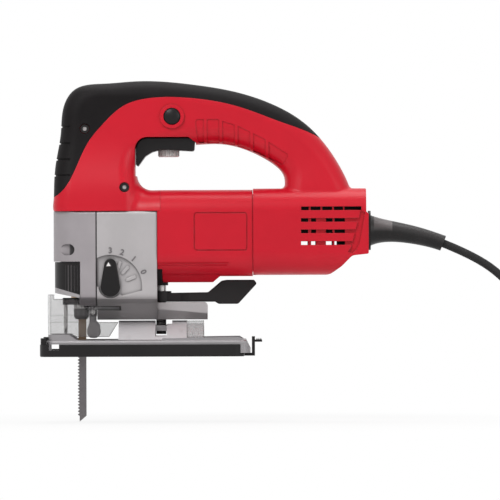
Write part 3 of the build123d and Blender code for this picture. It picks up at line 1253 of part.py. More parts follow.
def make_clear_guard():
    front_top = 48.0
    lip_top = 45.0 - 0.5
    under_cover = COVER_UNDER - GAP
    walls = guard_walls(GUARD_FRONT, NOSE_FRONT - 0.5, front_top)
    walls = walls + guard_walls(NOSE_FRONT - 0.5, COVER_STEP - 0.5, lip_top)
    walls = walls + guard_walls(COVER_STEP - 0.5, CASE_FRONT - 1.5, under_cover)
    face = mirrored(((GUARD_WIDE, front_top), (GUARD_WIDE, GUARD_FLARE), (GUARD_NARROW, GUARD_KNEE),
                     (GUARD_NARROW, GUARD_LOW)))
    walls = walls + cross_slab(face, GUARD_FRONT, GUARD_FRONT + GUARD_WALL)
    tail = side_slab(((CASE_FRONT - 1.5, GUARD_LOW), (CASE_FRONT - 1.5, GUARD_KNEE),
                      (SADDLE_FRONT - 0.6, GUARD_KNEE), (-31.6, GUARD_LOW)),
                     GUARD_NARROW - GUARD_WALL, GUARD_NARROW)
    y0, y1, z0, z1 = RAIL
    flange = block(COVER_STEP + 1, CASE_FRONT - 1.5, GUARD_WIDE - GUARD_WALL, y1, z0, z1)
    rail = block(CASE_FRONT - 1.5, RAIL_REAR, y0, y1, z0, z1)
    return walls + both_sides(tail + flange + rail)


def make_wire_guard():
    path = FilletPolyline((WIRE_X, -WIRE_HALF, SEAL[2]), (WIRE_X, -WIRE_HALF, WIRE_LOW + WIRE_RADIUS),
                          (WIRE_X, WIRE_HALF, WIRE_LOW + WIRE_RADIUS), (WIRE_X, WIRE_HALF, SEAL[2]),
                          radius=3.2)
    section = Plane(origin=path @ 0, z_dir=path % 0) * Circle(WIRE_RADIUS)
    return sweep(section, path=path)


# Rear block's inner pieces

def make_capacitor():
    low = BLOCK_LOW + HOUSING_WALL + SEAT
    return fillet(block(112.0, 134.0, -9.0, 9.0, low, low + 15.0).edges(), 1.0)


def make_cord_clamp():
    bar = block(146.0, 154.0, -10.0, 10.0, MOTOR_Z - 10, 95.0)
    posts = both_sides(block(146.0, 154.0, 5.0, 10.0, 77.4, MOTOR_Z - 10))
    return bar + posts


# Mains lead

def make_cord_guard():
    sections = []
    for x, z, radius, droop in GUARD_SECTIONS:
        lean = math.radians(droop)
        plane = Plane(origin=(x, 0, z), z_dir=(math.cos(lean), 0, -math.sin(lean)))
        sections.append(plane * Circle(radius))
    bell = loft(sections)
    x0, z0 = GUARD_SECTIONS[0][:2]
    flange = round_bar(BLOCK_REAR + SEAT, x0, 13.0, z0 - 15.3, z0 + 15.3, 6.0)
    return bell + flange + rod_x(BLOCK_REAR - 14, BLOCK_REAR + 0.5, 8.2, z=z0)


def arc_radii(points):
    """Radius at each inner point of a route: as large as its two runs allow."""
    radii = []
    for before, here, after in zip(points, points[1:], points[2:]):
        run_in = Vector(*here) - Vector(*before)
        run_out = Vector(*after) - Vector(*here)
        half_turn = math.radians(run_in.get_angle(run_out)) / 2
        radii.append(0.45 * min(run_in.length, run_out.length) / math.tan(half_turn))
    return radii


def tube(path):
    section = Plane(origin=path @ 0, z_dir=path % 0) * Circle(CORD_DIAMETER / 2)
    return sweep(section, path=path)


def coil_point(turn):
    """Centre of the cord after so many turns: in and out again, a layer lower at each reversal."""
    layer = min(int(turn / COIL_TURNS), COIL_LAYERS - 1)
    share = turn / COIL_TURNS - layer
    inward = share if layer % 2 == 0 else 1 - share
    radius = COIL_INNER + COIL_STEP * COIL_TURNS * (1 - inward)
    top = FLOOR + TIE_THICK + CORD_DIAMETER / 2 + COIL_STEP * (COIL_LAYERS - 1)
    drop = 0.0
    for reversal in range(1, COIL_LAYERS):
        climb = (turn - reversal * COIL_TURNS) / 0.5 + 0.5
        climb = min(max(climb, 0.0), 1.0)
        drop += COIL_STEP * climb * climb * (3 - 2 * climb)
    angle = 2 * math.pi * turn - math.pi / 2
    return Vector(COIL_X + radius * math.cos(angle), COIL_Y + radius * math.sin(angle), top - drop)


def coil_tangent(turn):
    return (coil_point(turn + 1e-4) - coil_point(turn - 1e-4)).normalized()


def biarc(start, start_dir, end, end_dir):
    """Two tangent arcs that leave start and reach end in the given directions."""
    chord = end - start
    both = start_dir + end_dir
    a = 2 * (1 - start_dir.dot(end_dir))
    b = 2 * chord.dot(both)
    c = -chord.dot(chord)
    if abs(a) < 1e-9:
        reach = -c / b
    else:
        reach = (-b + math.sqrt(b * b - 4 * a * c)) / (2 * a)
    knot = (start + start_dir * reach + end - end_dir * reach) * 0.5
    return [tangent_arc(start, start_dir, knot), tangent_arc(end, end_dir * -1, knot, flip=True)]


def tangent_arc(start, direction, end, flip=False):
    chord = end - start
    along = chord.normalized()
    bend = direction - along * direction.dot(along)
    angle = math.acos(max(-1.0, min(1.0, direction.dot(along))))
    middle = (start + end) * 0.5
    if bend.length > 1e-9:
        middle = middle + bend.normalized() * (chord.length / 2 * math.tan(angle / 2))
    return ThreePointArc(end, middle, start) if flip else ThreePointArc(start, middle, end)


COIL_SPAN = COIL_TURNS * COIL_LAYERS


def coil_edges():
    edges = []
    quarters = round(COIL_SPAN * 4)
    for quarter in range(quarters):
        t0 = quarter / 4
        t1 = (quarter + 1) / 4
        edges += biarc(coil_point(t0), coil_tangent(t0), coil_point(t1), coil_tangent(t1))
    edges.append(Line(coil_point(COIL_SPAN), plug_start()))
    return edges


def coil_gap():
    """Least gap between turns of the coil, measured on points round it."""
    steps = 96
    points = [coil_point(place / steps) for place in range(round(COIL_SPAN * steps) + 1)]
    least = 1e9
    apart = steps // 2
    for index, point in enumerate(points):
        for other in points[index + apart:]:
            least = min(least, (other - point).length)
    return least - CORD_DIAMETER


def make_cord_coil():
    return tube(Wire(coil_edges()))


def cord_route():
    """The free stretch, from the guard down to the top of the coil."""
    last = coil_point(0)
    approach = last - coil_tangent(0) * CORD_APPROACH
    return list(CORD_POINTS) + [(approach.X, approach.Y, approach.Z), (last.X, last.Y, last.Z)]


def make_cord_lead():
    route = cord_route()
    radii = arc_radii(route)
    print("cord radii", [round(radius) for radius in radii])
    path = FilletPolyline(*route, radius=radii)
    lead = tube(path)
    print("cord lead length", round(path.length), "volume share",
          round(lead.volume / (path.length * math.pi * CORD_DIAMETER ** 2 / 4), 4))
    return lead


def make_cord_tie():
    """Band round all the turns."""
    inner = COIL_INNER - CORD_DIAMETER / 2 - 1.2
    outer = COIL_INNER + COIL_STEP * COIL_TURNS + CORD_DIAMETER / 2 + 1.2
    low = FLOOR + TIE_THICK
    high = low + CORD_DIAMETER + COIL_STEP * (COIL_LAYERS - 1) + 0.6
    band = block(inner - TIE_THICK, outer + TIE_THICK, -TIE_WIDTH / 2, TIE_WIDTH / 2, low - TIE_THICK,
                 high + TIE_THICK)
    band = band - block(inner, outer, -TIE_WIDTH, TIE_WIDTH, low - 0.3, high)
    band = fillet(band.edges().filter_by(Axis.Y), 0.6)
    return Pos(COIL_X, COIL_Y, 0) * Rot(0, 0, TIE_ANGLE) * band


def plug_start():
    """Where the cord enters the plug."""
    return coil_point(COIL_SPAN) + coil_tangent(COIL_SPAN) * CORD_TAIL


def plug_frame():
    """Plane at the cord's entry, with the cord's direction as X and the floor as XY."""
    along = coil_tangent(COIL_SPAN)
    return Plane(origin=plug_start(), x_dir=(along.X, along.Y, 0), z_dir=(0, 0, 1))


def plug_low():
    """Height of the plug's underside, from the cord's centre."""
    return FLOOR + 0.3 - plug_start().Z


def make_plug_body():
    relief = loft([Plane.YZ * Circle(4.5), Plane.YZ.offset(20) * Pos(0, 3.6) * Circle(6.2)])
    low = plug_low()
    shell = block(19, 19 + PLUG_LENGTH, -PLUG_HALF, PLUG_HALF, low, low + PLUG_HEIGHT)
    shell = fillet(shell.edges().filter_by(Axis.Z), 8.0)
    shell = fillet(shell.edges().group_by(Axis.Z)[-1] + shell.edges().group_by(Axis.Z)[0], 3.0)
    return plug_frame() * (relief + shell)


def make_plug_pins():
    face = 19 + PLUG_LENGTH
    middle = plug_low() + PLUG_HEIGHT / 2
    pin = rod_x(face, face + PIN_LENGTH, PIN_RADIUS, PIN_SPACING / 2, middle)
    pin = fillet(pin.edges().group_by(Axis.X)[-1], 1.2)
    return plug_frame() * (pin + Pos(0, -PIN_SPACING, 0) * pin)


NODES = {
    "foot_plate": make_foot_plate,
    "foot_saddle": make_foot_saddle,
    "dust_duct": make_dust_duct,
    "sole_cover": make_sole_cover,
    "gear_housing": make_gear_housing,
    "front_cover": make_front_cover,
    "cover_screws": make_cover_screws,
    "release_lever": make_release_lever,
    "release_pin": make_release_pin,
    "plunger_seal": make_plunger_seal,
    "plunger": make_plunger,
    "blade_clamp": make_blade_clamp,
    "yoke": make_yoke,
    "lower_bush": lambda: make_bush(LOWER_BUSH),
    "upper_bush": lambda: make_bush(UPPER_BUSH),
    "blade": make_blade,
    "drive_gear": make_drive_gear,
    "crank_pin": make_crank_pin,
    "gear_axle": make_gear_axle,
    "armature_shaft": make_armature_shaft,
    "armature_stack": make_armature_stack,
    "armature_windings": make_armature_windings,
    "commutator": lambda: make_ring(COMMUTATOR, SHAFT_RADIUS),
    "front_bearing": lambda: make_ring(FRONT_BEARING, SHAFT_RADIUS + FIT),
    "rear_bearing": lambda: make_ring(REAR_BEARING, SHAFT_RADIUS + FIT),
    "cooling_fan": make_cooling_fan,
    "field_stack": make_field_stack,
    "field_coils": make_field_coils,
    "brush_carrier": make_brush_carrier,
    "brush_holders": make_brush_holders,
    "brushes": make_brushes,
    "brush_springs": make_brush_springs,
    "motor_housing": make_motor_housing,
    "handle_screws": make_handle_screws,
    "trigger": make_trigger,
    "speed_dial": make_speed_dial,
    "lock_button": make_lock_button,
    "switch_body": make_switch_body,
    "orbit_knob": make_orbit_knob,
    "roller_arm": make_roller_arm,
    "guide_roller": make_guide_roller,
    "pivot_pin": make_pivot_pin,
    "clamp_bolt": make_clamp_bolt,
    "clamp_nut": make_clamp_nut,
    "bolt_block": make_bolt_block,
    "clamp_lever": make_clamp_lever,
    "clear_guard": make_clear_guard,
    "wire_guard": make_wire_guard,
    "capacitor": make_capacitor,
    "cord_clamp": make_cord_clamp,
    "cord_guard": make_cord_guard,
    "cord_lead": make_cord_lead,
    "cord_coil": make_cord_coil,
    "cord_tie": make_cord_tie,
    "plug_body": make_plug_body,
    "plug_pins": make_plug_pins,
}


def main():
    os.makedirs("parts", exist_ok=True)
    for name, make in NODES.items():
        export_step(make(), os.path.join("parts", name + ".step"))
    for name, piece in make_handle().items():
        export_step(piece, os.path.join("parts", name + ".step"))
    print("least gap between turns of the coil", round(coil_gap(), 2))


if __name__ == "__main__":
    main()
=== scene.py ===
"""Dresses the jigsaw: finishes for every piece, the mains lead, small marks, the studio and the camera."""

import math

import bmesh
import bpy
from mathutils import Matrix, Vector


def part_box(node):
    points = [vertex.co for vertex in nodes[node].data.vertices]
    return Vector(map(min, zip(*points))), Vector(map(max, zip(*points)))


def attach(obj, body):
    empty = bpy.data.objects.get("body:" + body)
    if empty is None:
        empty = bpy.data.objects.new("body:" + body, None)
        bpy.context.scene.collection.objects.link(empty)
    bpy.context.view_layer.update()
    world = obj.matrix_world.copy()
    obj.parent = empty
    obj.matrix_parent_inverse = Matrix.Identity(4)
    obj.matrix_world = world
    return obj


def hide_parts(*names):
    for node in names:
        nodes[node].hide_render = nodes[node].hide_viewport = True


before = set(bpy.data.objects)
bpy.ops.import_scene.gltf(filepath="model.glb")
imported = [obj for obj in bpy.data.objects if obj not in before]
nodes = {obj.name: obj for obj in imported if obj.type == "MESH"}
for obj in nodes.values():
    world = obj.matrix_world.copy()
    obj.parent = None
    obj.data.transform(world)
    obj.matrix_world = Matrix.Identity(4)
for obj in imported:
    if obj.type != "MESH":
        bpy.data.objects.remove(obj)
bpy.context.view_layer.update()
scene = bpy.context.scene

MM = 0.001
X, Y, Z = range(3)


# Shader tools

class Tap:
    """A shader socket that takes part in arithmetic; its tree gets a Math node for each step."""

    def __init__(self, tree, socket=None):
        self.tree = tree
        self.socket = socket

    def node(self, kind, settings=None, inputs=None, out=0):
        """A new node with its settings and its sockets' values or links; gives one of its outputs."""
        made = self.tree.nodes.new("ShaderNode" + kind)
        for name, value in (settings or {}).items():
            setattr(made, name, value)
        for name, value in (inputs or {}).items():
            target = made.inputs[name]
            if isinstance(value, Tap):
                self.tree.links.new(value.socket, target)
            else:
                target.default_value = value
        return Tap(self.tree, made.outputs[out] if made.outputs else None)

    def math(self, operation, other=None, swap=False):
        """A Math node on this value and another, or the other and this one."""
        first, second = (other, self) if swap else (self, other)
        inputs = {0: first} if second is None else {0: first, 1: second}
        return self.node("Math", {"operation": operation}, inputs)

    def __add__(self, other):
        return self.math("ADD", other)

    def __radd__(self, other):
        return self.math("ADD", other)

    def __sub__(self, other):
        return self.math("SUBTRACT", other)

    def __rsub__(self, other):
        return self.math("SUBTRACT", other, swap=True)

    def __mul__(self, other):
        return self.math("MULTIPLY", other)

    def __rmul__(self, other):
        return self.math("MULTIPLY", other)

    def __truediv__(self, other):
        return self.math("DIVIDE", other)

    def __pow__(self, other):
        return self.math("POWER", other)

    def step(self, low, high):
        """0 below low and 1 above high, smooth between."""
        inputs = {"Value": self, "From Min": low, "From Max": high}
        return self.node("MapRange", {"interpolation_type": "SMOOTHSTEP"}, inputs)

    def between(self, rise, fall):
        """1 from the end of the rise to the start of the fall, 0 outside both."""
        return self.step(*rise) * (1 - self.step(*fall))

    def saw(self, pitch):
        """0 to 1 over each pitch, again and again."""
        return (self / pitch).math("FRACT")

    def ridge(self, pitch):
        """1 at each pitch, 0 half way between."""
        return (self.saw(pitch) - 0.5).math("ABSOLUTE") * 2


def finish_tree(name):
    """A new material, a tap on its tree, the place on the piece, and the surface shader."""
    material = bpy.data.materials.new(name)
    material.use_nodes = True
    tree = material.node_tree
    tap = Tap(tree)
    place = tap.node("TexCoord", out=3)
    return material, tap, place, tree.nodes["Principled BSDF"]


def wire(tap, shader, **sockets):
    """Links or sets the shader's sockets."""
    names = {"colour": "Base Color", "roughness": "Roughness", "metallic": "Metallic", "normal": "Normal",
             "alpha": "Alpha", "coat": "Coat Weight"}
    for name, value in sockets.items():
        target = shader.inputs[names[name]]
        if isinstance(value, Tap):
            tap.tree.links.new(value.socket, target)
        else:
            target.default_value = value


def component(tap, vector, which):
    """One part of a vector."""
    parts = tap.node("SeparateXYZ", None, {0: vector})
    return Tap(tap.tree, parts.socket.node.outputs[which])


def axis(tap, place, which):
    """One coordinate in millimetres."""
    return component(tap, place, which) / MM


def block(tap, place, spans):
    """1 inside a block with soft faces, given by each axis's rise and fall in millimetres."""
    inside = None
    for which, (rise, fall) in spans.items():
        span = axis(tap, place, which).between(rise, fall)
        inside = inside * span if inside else span
    return inside


def noise(tap, place, size_mm, detail=3.0, rough=0.55, stretch=(1, 1, 1)):
    """Even noise about 0.5 whose blots are about size_mm wide."""
    scale = tuple(s / (size_mm * MM) for s in stretch)
    mapped = tap.node("Mapping", None, {"Vector": place, "Scale": scale})
    return tap.node("TexNoise", None, {"Vector": mapped, "Scale": 1.0, "Detail": detail, "Roughness": rough})


def mix_colour(tap, factor, first, second):
    """The first colour where the factor is 0, the second where it is 1."""
    return tap.node("Mix", {"data_type": "RGBA"}, {0: factor, 6: first, 7: second}, out=2)


def soft_edge(tap, radius_mm):
    """The normal with corners rounded off over a small radius."""
    return tap.node("Bevel", {"samples": 4}, {"Radius": radius_mm * MM})


def corner_mask(tap, normal):
    """1 along the corners that soft_edge has rounded, 0 on the faces."""
    face = tap.node("NewGeometry", out=1)
    along = tap.node("VectorMath", {"operation": "DOT_PRODUCT"}, {0: normal, 1: face}, out=1)
    return (1 - along).step(0.02, 0.16)


def corner_shade(tap, reach_mm):
    """1 in seams and inner corners, 0 in the open: where painted shade darkens the colour."""
    open_sky = tap.node("AmbientOcclusion", {"samples": 4}, {"Distance": reach_mm * MM}, out=1)
    return 1 - open_sky.step(0.55, 0.92)


def bump(tap, height, depth_mm, normal=None):
    """The normal over a relief of the depth, on top of another normal where one is given."""
    inputs = {"Height": height, "Distance": depth_mm * MM, "Strength": 1.0}
    if normal:
        inputs["Normal"] = normal
    return tap.node("Bump", None, inputs)


def rgb(red, green, blue):
    """Linear colour from the eight-bit values that a screen shows."""
    screen = [value / 255 for value in (red, green, blue)]
    return tuple(((v + 0.055) / 1.055) ** 2.4 if v > 10 / 255 else v / 12.92 for v in screen) + (1.0,)


def pale(colour, share):
    """Colour taken that share of the way to white."""
    return tuple(c + (1 - c) * share for c in colour[:3]) + (1.0,)


def shade(colour, share):
    """Colour made darker, or lighter where the share is above 1."""
    return tuple(min(1.0, c * share) for c in colour[:3]) + (1.0,)


# Places on the saw that its finishes follow, in millimetres

CASE_JOINT = -40.8              # X of the joint between the front cover and the gear case, where a line of painted shade lies
CASE_SHADE_TOP = 44.6                # Z of the top of the painted shade on the gear case's underside
COVER_SHADE_TOP = 46.0               # the same on the front cover
TAIL_START = (6.2, 6.6)         # X where the painted shade of the underside gives way to the tail
TAIL_CREASE = (4.3, 36.2)       # X and Z where the crease along the tail starts
TAIL_FALL = 0.06                # fall of the crease along X
THREAD_TOP = (43.0, 44.0)       # Z where the clamp bolt's thread runs out
GUARD_RAIL = 35.9               # Z of the rail along the top of the clear guard
RAIL_FRONT = (-44.0, -42.0)     # X where that rail starts
SCREW_AXES = ((-49.7, 176.9), (-18.9, 131.3))
RECESS = (1.2, 3.2)             # square of the distance from a screw's axis over which the painted highlight in its recess ends
WALL_BEHIND_SLOTS = {X: ((111, 113), (165, 166)), Y: ((9.6, 10.2), (12.8, 13.4)),
                     Z: ((88, 90), (124.6, 125.6))}
SLOT_REAR = {X: ((-62.2, -60.6), (-56.8, -56.4)), Z: ((78.6, 79.0), (87.4, 87.8))}
SLOT_DEPTH = (31.4, 32.2)       # distance from the middle plane at which the slot turns dark
LEVER_RIBS = {X: ((-65.0, -64.4), (-55.2, -54.9)), Z: ((50.0, 51.0), (70.5, 71.5))}
RIB_PITCH = 2.3
RIB_LAST = -55.7
LIP_FRONT = (-74.3, 54.0)       # X and Z of the front end of the lever's lip
LIP_FALL = 0.29                 # fall of the lip along X
COLLAR = ((174.6, 175.4), (189.0, 189.6))
TAR = (4.0, 16.0)               # Z over which the tar on the blade begins

RED = rgb(204, 18, 40)
GRIP = rgb(20, 17, 18)
BLACK = rgb(33, 30, 31)
CAST = rgb(180, 176, 177)
COVER = rgb(160, 154, 157)
SHEET = rgb(150, 147, 149)
RUST = rgb(92, 70, 56)


# Finishes

def moulded(name, colour, roughness, grain_mm, grain_depth_mm, flow, coat=0.0, edge_mm=0.5, tint=None, rub_and_highlight=0.3,
            corner_shade_share=0.6):
    """Moulded plastic: spark-eroded grain, faint flow marks, paler rubbed corners, a sheen that handling varies,
    and painted shade in seams and inner corners; where the rub share is high, the paler corners also paint a
    highlight along the edges.
    """
    material, tap, place, shader = finish_tree(name)
    grain = noise(tap, place, grain_mm, 4.0, 0.6)
    drift = noise(tap, place, 38.0, 2.0)
    rubbed = noise(tap, place, 9.0)
    corner = soft_edge(tap, edge_mm)
    wear = corner_mask(tap, corner) * rubbed.step(0.35, 0.65)
    base = mix_colour(tap, drift.step(0.3, 0.7), shade(colour, 1 - flow), shade(colour, 1 + flow))
    base = mix_colour(tap, wear * rub_and_highlight, base, pale(colour, 0.15))
    # painted shade: darker in seams and inner corners
    base = mix_colour(tap, corner_shade(tap, 2.0) * corner_shade_share, base, shade(colour, 0.35))
    if tint:
        base = tint(tap, place, base)
    wire(tap, shader, colour=base, roughness=(grain - 0.5) * 0.12 + (rubbed - 0.5) * 0.14 + roughness,
         normal=bump(tap, grain, grain_depth_mm, corner), coat=coat)
    shader.inputs["Coat Roughness"].default_value = 0.18
    shader.inputs["IOR"].default_value = 1.48
    shader.inputs["Specular IOR Level"].default_value = 0.24
    return material


def soft_touch(name, colour):
    """Soft overmould: leathery pebble over a fine grain, dull with a slight sheen."""
    material, tap, place, shader = finish_tree(name)
    mapped = tap.node("Mapping", None, {"Vector": place, "Scale": (1 / (1.1 * MM),) * 3})
    pebble = tap.node("TexVoronoi", {"feature": "SMOOTH_F1"}, {"Vector": mapped, "Scale": 1.0, "Smoothness": 0.4})
    grain = noise(tap, place, 0.25)
    worn = noise(tap, place, 16.0)
    corner = soft_edge(tap, 0.8)
    base = mix_colour(tap, worn.step(0.35, 0.75), shade(colour, 0.85), shade(colour, 1.3))
    base = mix_colour(tap, corner_mask(tap, corner) * 0.25, base, shade(colour, 2.2))
    wire(tap, shader, colour=base, roughness=worn * 0.16 + grain * 0.08 + 0.44,
         normal=bump(tap, pebble * 0.7 + grain * 0.3, 0.03, corner))
    shader.inputs["Specular IOR Level"].default_value = 0.12
    shader.inputs["Sheen Weight"].default_value = 0.015
    shader.inputs["Sheen Roughness"].default_value = 0.4
    return material


def underside_shade(tap, place, shade_top):
    """1 on the casting's underside and on its tail below the crease, where painted shade darkens it."""
    high = axis(tap, place, Z)
    along = axis(tap, place, X)
    crease = TAIL_CREASE[1] - (along - TAIL_CREASE[0]) * TAIL_FALL
    under = 1 - (high - shade_top).step(-0.3, 0.3)
    below = 1 - (high - crease).step(-0.2, 0.2)
    tail = along.step(*TAIL_START)
    return under * (1 - tail) + tail * below * 0.8


def casting(name, colour, shade_top=None, tint=None):
    """Die casting under silver-grey lacquer: peened skin, fine flakes, drift, bright corners where it is worn, and
    painted shade on the underside, in seams and inner corners and along the joint with the front cover.
    """
    material, tap, place, shader = finish_tree(name)
    peen = noise(tap, place, 0.55, 3.0, 0.6)
    drift = noise(tap, place, 26.0)
    flakes = noise(tap, place, 0.16, 1.0, 0.5)
    corner = soft_edge(tap, 0.7)
    wear = corner_mask(tap, corner)
    base = mix_colour(tap, drift.step(0.3, 0.72), shade(colour, 0.95), shade(colour, 1.04))
    base = mix_colour(tap, flakes.step(0.6, 0.8) * 0.4, base, shade(colour, 1.25))
    # painted shade on the underside, which faces down and away from the lamps
    if shade_top:
        base = mix_colour(tap, underside_shade(tap, place, shade_top), base, shade(colour, 0.57))
    base = mix_colour(tap, wear * 0.35, base, shade(colour, 1.5))
    # painted shade: darker in seams and inner corners
    base = mix_colour(tap, corner_shade(tap, 2.2) * 0.7, base, shade(colour, 0.3))
    # painted shade: a dark line along the joint between the front cover and the gear case
    joint = 1 - (axis(tap, place, X) - CASE_JOINT).math("ABSOLUTE").step(0.45, 0.7)
    base = mix_colour(tap, joint * 0.85, base, shade(colour, 0.1))
    if tint:
        base = tint(tap, place, base)
    wire(tap, shader, colour=base, metallic=wear * 0.3 + 0.3,
         roughness=(peen - 0.5) * 0.2 + (drift - 0.5) * 0.12 + 0.44, normal=bump(tap, peen, 0.014, corner))
    return material


def bare_metal(name, colour, roughness, stretch, line_mm, depth_mm=0.006, stain=None, metallic=1.0, edge_mm=0.25,
               tint=None):
    """Cut or ground metal: fine lines along one way, faint stains, uneven shine, bright corners."""
    material, tap, place, shader = finish_tree(name)
    lines = noise(tap, place, line_mm, 2.0, 0.6, stretch)
    cloud = noise(tap, place, 7.0, 4.0, 0.6)
    base = mix_colour(tap, lines, shade(colour, 0.86), shade(colour, 1.1))
    base = mix_colour(tap, cloud.step(0.55, 0.85) * 0.5, base, stain or shade(colour, 0.72))
    corner = soft_edge(tap, edge_mm)
    if tint:
        base = tint(tap, place, base)
    base = mix_colour(tap, corner_mask(tap, corner) * 0.4, base, shade(colour, 1.4))
    wire(tap, shader, colour=base, metallic=metallic, roughness=lines * 0.14 + cloud * 0.12 + roughness - 0.13,
         normal=bump(tap, lines, depth_mm, corner))
    return material


def threaded(name, colour, pitch_mm=1.25):
    """Screw thread round Z below a plain shank: bright crests, with painted shade in the dark roots."""
    material, tap, place, shader = finish_tree(name)
    high = axis(tap, place, Z)
    crest = high.ridge(pitch_mm).math("MAXIMUM", high.step(*THREAD_TOP))
    oil = noise(tap, place, 3.0)
    # painted shade: the roots between the crests are dark
    base = mix_colour(tap, crest.step(0.25, 0.8), shade(colour, 0.18), colour)
    wire(tap, shader, colour=base, metallic=0.9, roughness=oil * 0.2 + 0.26, normal=bump(tap, crest, 0.6))
    return material


def clear_moulding(name, colour, alpha, rail=None):
    """Clear plastic: mostly seen through, with dust and fine scratches, and painted shade along its corners, which
    show as dark grey lines.
    """
    material, tap, place, shader = finish_tree(name)
    dust = noise(tap, place, 1.4, 5.0, 0.7)
    scratch = noise(tap, place, 0.3, 2.0, 0.5, (0.06, 1, 1))
    corner = soft_edge(tap, 0.8)
    # painted shade: the corners turn dark grey and more opaque
    line = corner_mask(tap, corner)
    base = mix_colour(tap, dust, shade(colour, 0.94), colour)
    cover = dust.step(0.45, 0.9) * 0.1 + alpha + line * 0.75
    if rail:
        on_rail = axis(tap, place, Z).step(rail - 0.3, rail + 0.3) * axis(tap, place, X).step(*RAIL_FRONT)
        cover = cover + on_rail * 0.5
    wire(tap, shader, colour=mix_colour(tap, line, base, shade(colour, 0.14)),
         roughness=dust * 0.12 + scratch.step(0.6, 0.8) * 0.2 + 0.05, alpha=cover.math("MINIMUM", 1.0),
         normal=bump(tap, scratch, 0.004, corner))
    shader.inputs["IOR"].default_value = 1.5
    return material


def sawn_sheets(name, colour, pitch_mm=0.5):
    """Stacked laminations: thin bright edges with dark joints, across X."""
    material, tap, place, shader = finish_tree(name)
    joint = axis(tap, place, X).saw(pitch_mm).step(0.72, 0.95)
    rust = noise(tap, place, 5.0, 4.0)
    base = mix_colour(tap, joint, colour, shade(colour, 0.35))
    base = mix_colour(tap, rust.step(0.55, 0.8) * 0.4, base, RUST)
    wire(tap, shader, colour=base, metallic=0.9, roughness=rust * 0.2 + 0.34, normal=bump(tap, 1 - joint, 0.03))
    return material


def wound_wire(name, colour, pitch_mm=0.7):
    """Enamelled wire laid side by side round the motor's axis, with varnish over it, and painted shade in the
    grooves between the wires.
    """
    material, tap, place, shader = finish_tree(name)
    groove = axis(tap, place, X).ridge(pitch_mm)
    varnish = noise(tap, place, 6.0)
    # painted shade between the wires, and painted light on their tops
    base = mix_colour(tap, groove, shade(colour, 1.15), shade(colour, 0.4))
    base = mix_colour(tap, varnish.step(0.4, 0.8) * 0.5, base, shade(colour, 0.6))
    wire(tap, shader, colour=base, metallic=0.8, roughness=varnish * 0.2 + 0.22,
         normal=bump(tap, 1 - groove, 0.12), coat=0.4)
    return material


def sheath(name, colour, roughness, tint=None):
    """Extruded rubber sheath: dull, with a fine skin and dusty patches."""
    material, tap, place, shader = finish_tree(name)
    skin = noise(tap, place, 0.5)
    dust = noise(tap, place, 14.0, 4.0, 0.65)
    base = mix_colour(tap, dust.step(0.45, 0.8), colour, shade(colour, 1.8))
    if tint:
        base = tint(tap, place, base)
    wire(tap, shader, colour=base, roughness=dust * 0.2 + skin * 0.08 + roughness,
         normal=bump(tap, skin, 0.02, soft_edge(tap, 0.5)))
    shader.inputs["Specular IOR Level"].default_value = 0.26
    return material


# Tints: colour, painted shade and painted highlights that belong to one place on a piece

def shade_behind_slots(tap, place, base):
    """The wall behind the air slots is painted near black: painted shade for the dark inside the housing."""
    return mix_colour(tap, block(tap, place, WALL_BEHIND_SLOTS), base, rgb(20, 16, 16))


def dark_slot(tap, place, base):
    """The rear end of the side slot, where it opens into the case, is painted dark: painted shade."""
    deep = 1 - axis(tap, place, Y).math("ABSOLUTE").step(*SLOT_DEPTH)
    return mix_colour(tap, deep * block(tap, place, SLOT_REAR) * 0.9, base, rgb(26, 24, 25))


def pale_lip(tap, place, base):
    """The lever's ribs carry a painted highlight in grey, and its lower edge is moulded in the case's grey."""
    along = axis(tap, place, X)
    # painted highlight along each rib
    rib = ((along - RIB_LAST).saw(RIB_PITCH) - 0.5).math("ABSOLUTE").step(0.3, 0.42)
    ribbed = mix_colour(tap, rib * block(tap, place, LEVER_RIBS) * 0.6, base, rgb(104, 100, 102))
    over_lip = axis(tap, place, Z) - (LIP_FRONT[1] - (along - LIP_FRONT[0]) * LIP_FALL)
    return mix_colour(tap, over_lip.step(-0.15, 0.15), rgb(168, 164, 166), ribbed)


def recess_highlight(tap, place, base):
    """The screws are black, with a painted highlight in their recess."""
    along, high = axis(tap, place, X), axis(tap, place, Z)
    for x, z in SCREW_AXES:
        away = (along - x) ** 2 + (high - z) ** 2
        base = mix_colour(tap, 1 - away.step(*RECESS), base, rgb(188, 184, 184))
    return base


def top_light_and_collar_highlight(tap, place, base):
    """Painted light: the guard's upward faces are lighter, and on its thick end a painted highlight lies along the
    top.
    """
    up = component(tap, tap.node("NewGeometry", out=1), Z).step(-0.1, 0.7)
    collar = axis(tap, place, X).between(*COLLAR)
    return mix_colour(tap, up * (collar * 0.7 + 0.16), base, rgb(128, 124, 124))


def tan_shank(tap, place, base):
    """Heat tint and wood tar on the blade above the sole."""
    return mix_colour(tap, axis(tap, place, Z).step(*TAR) * 0.8, base, rgb(122, 96, 66))


RED_SHELL = {"roughness": 0.36, "grain_mm": 0.4, "grain_depth_mm": 0.006, "flow": 0.03, "coat": 0.1, "edge_mm": 0.6,
             "corner_shade_share": 0.3}

red_plastic = moulded("red_plastic", RED, **RED_SHELL)
red_vented = moulded("red_vented", RED, tint=shade_behind_slots, **RED_SHELL)
grip_rubber = soft_touch("grip_rubber", GRIP)
black_plastic = moulded("black_plastic", BLACK, 0.42, 0.3, 0.014, 0.12)
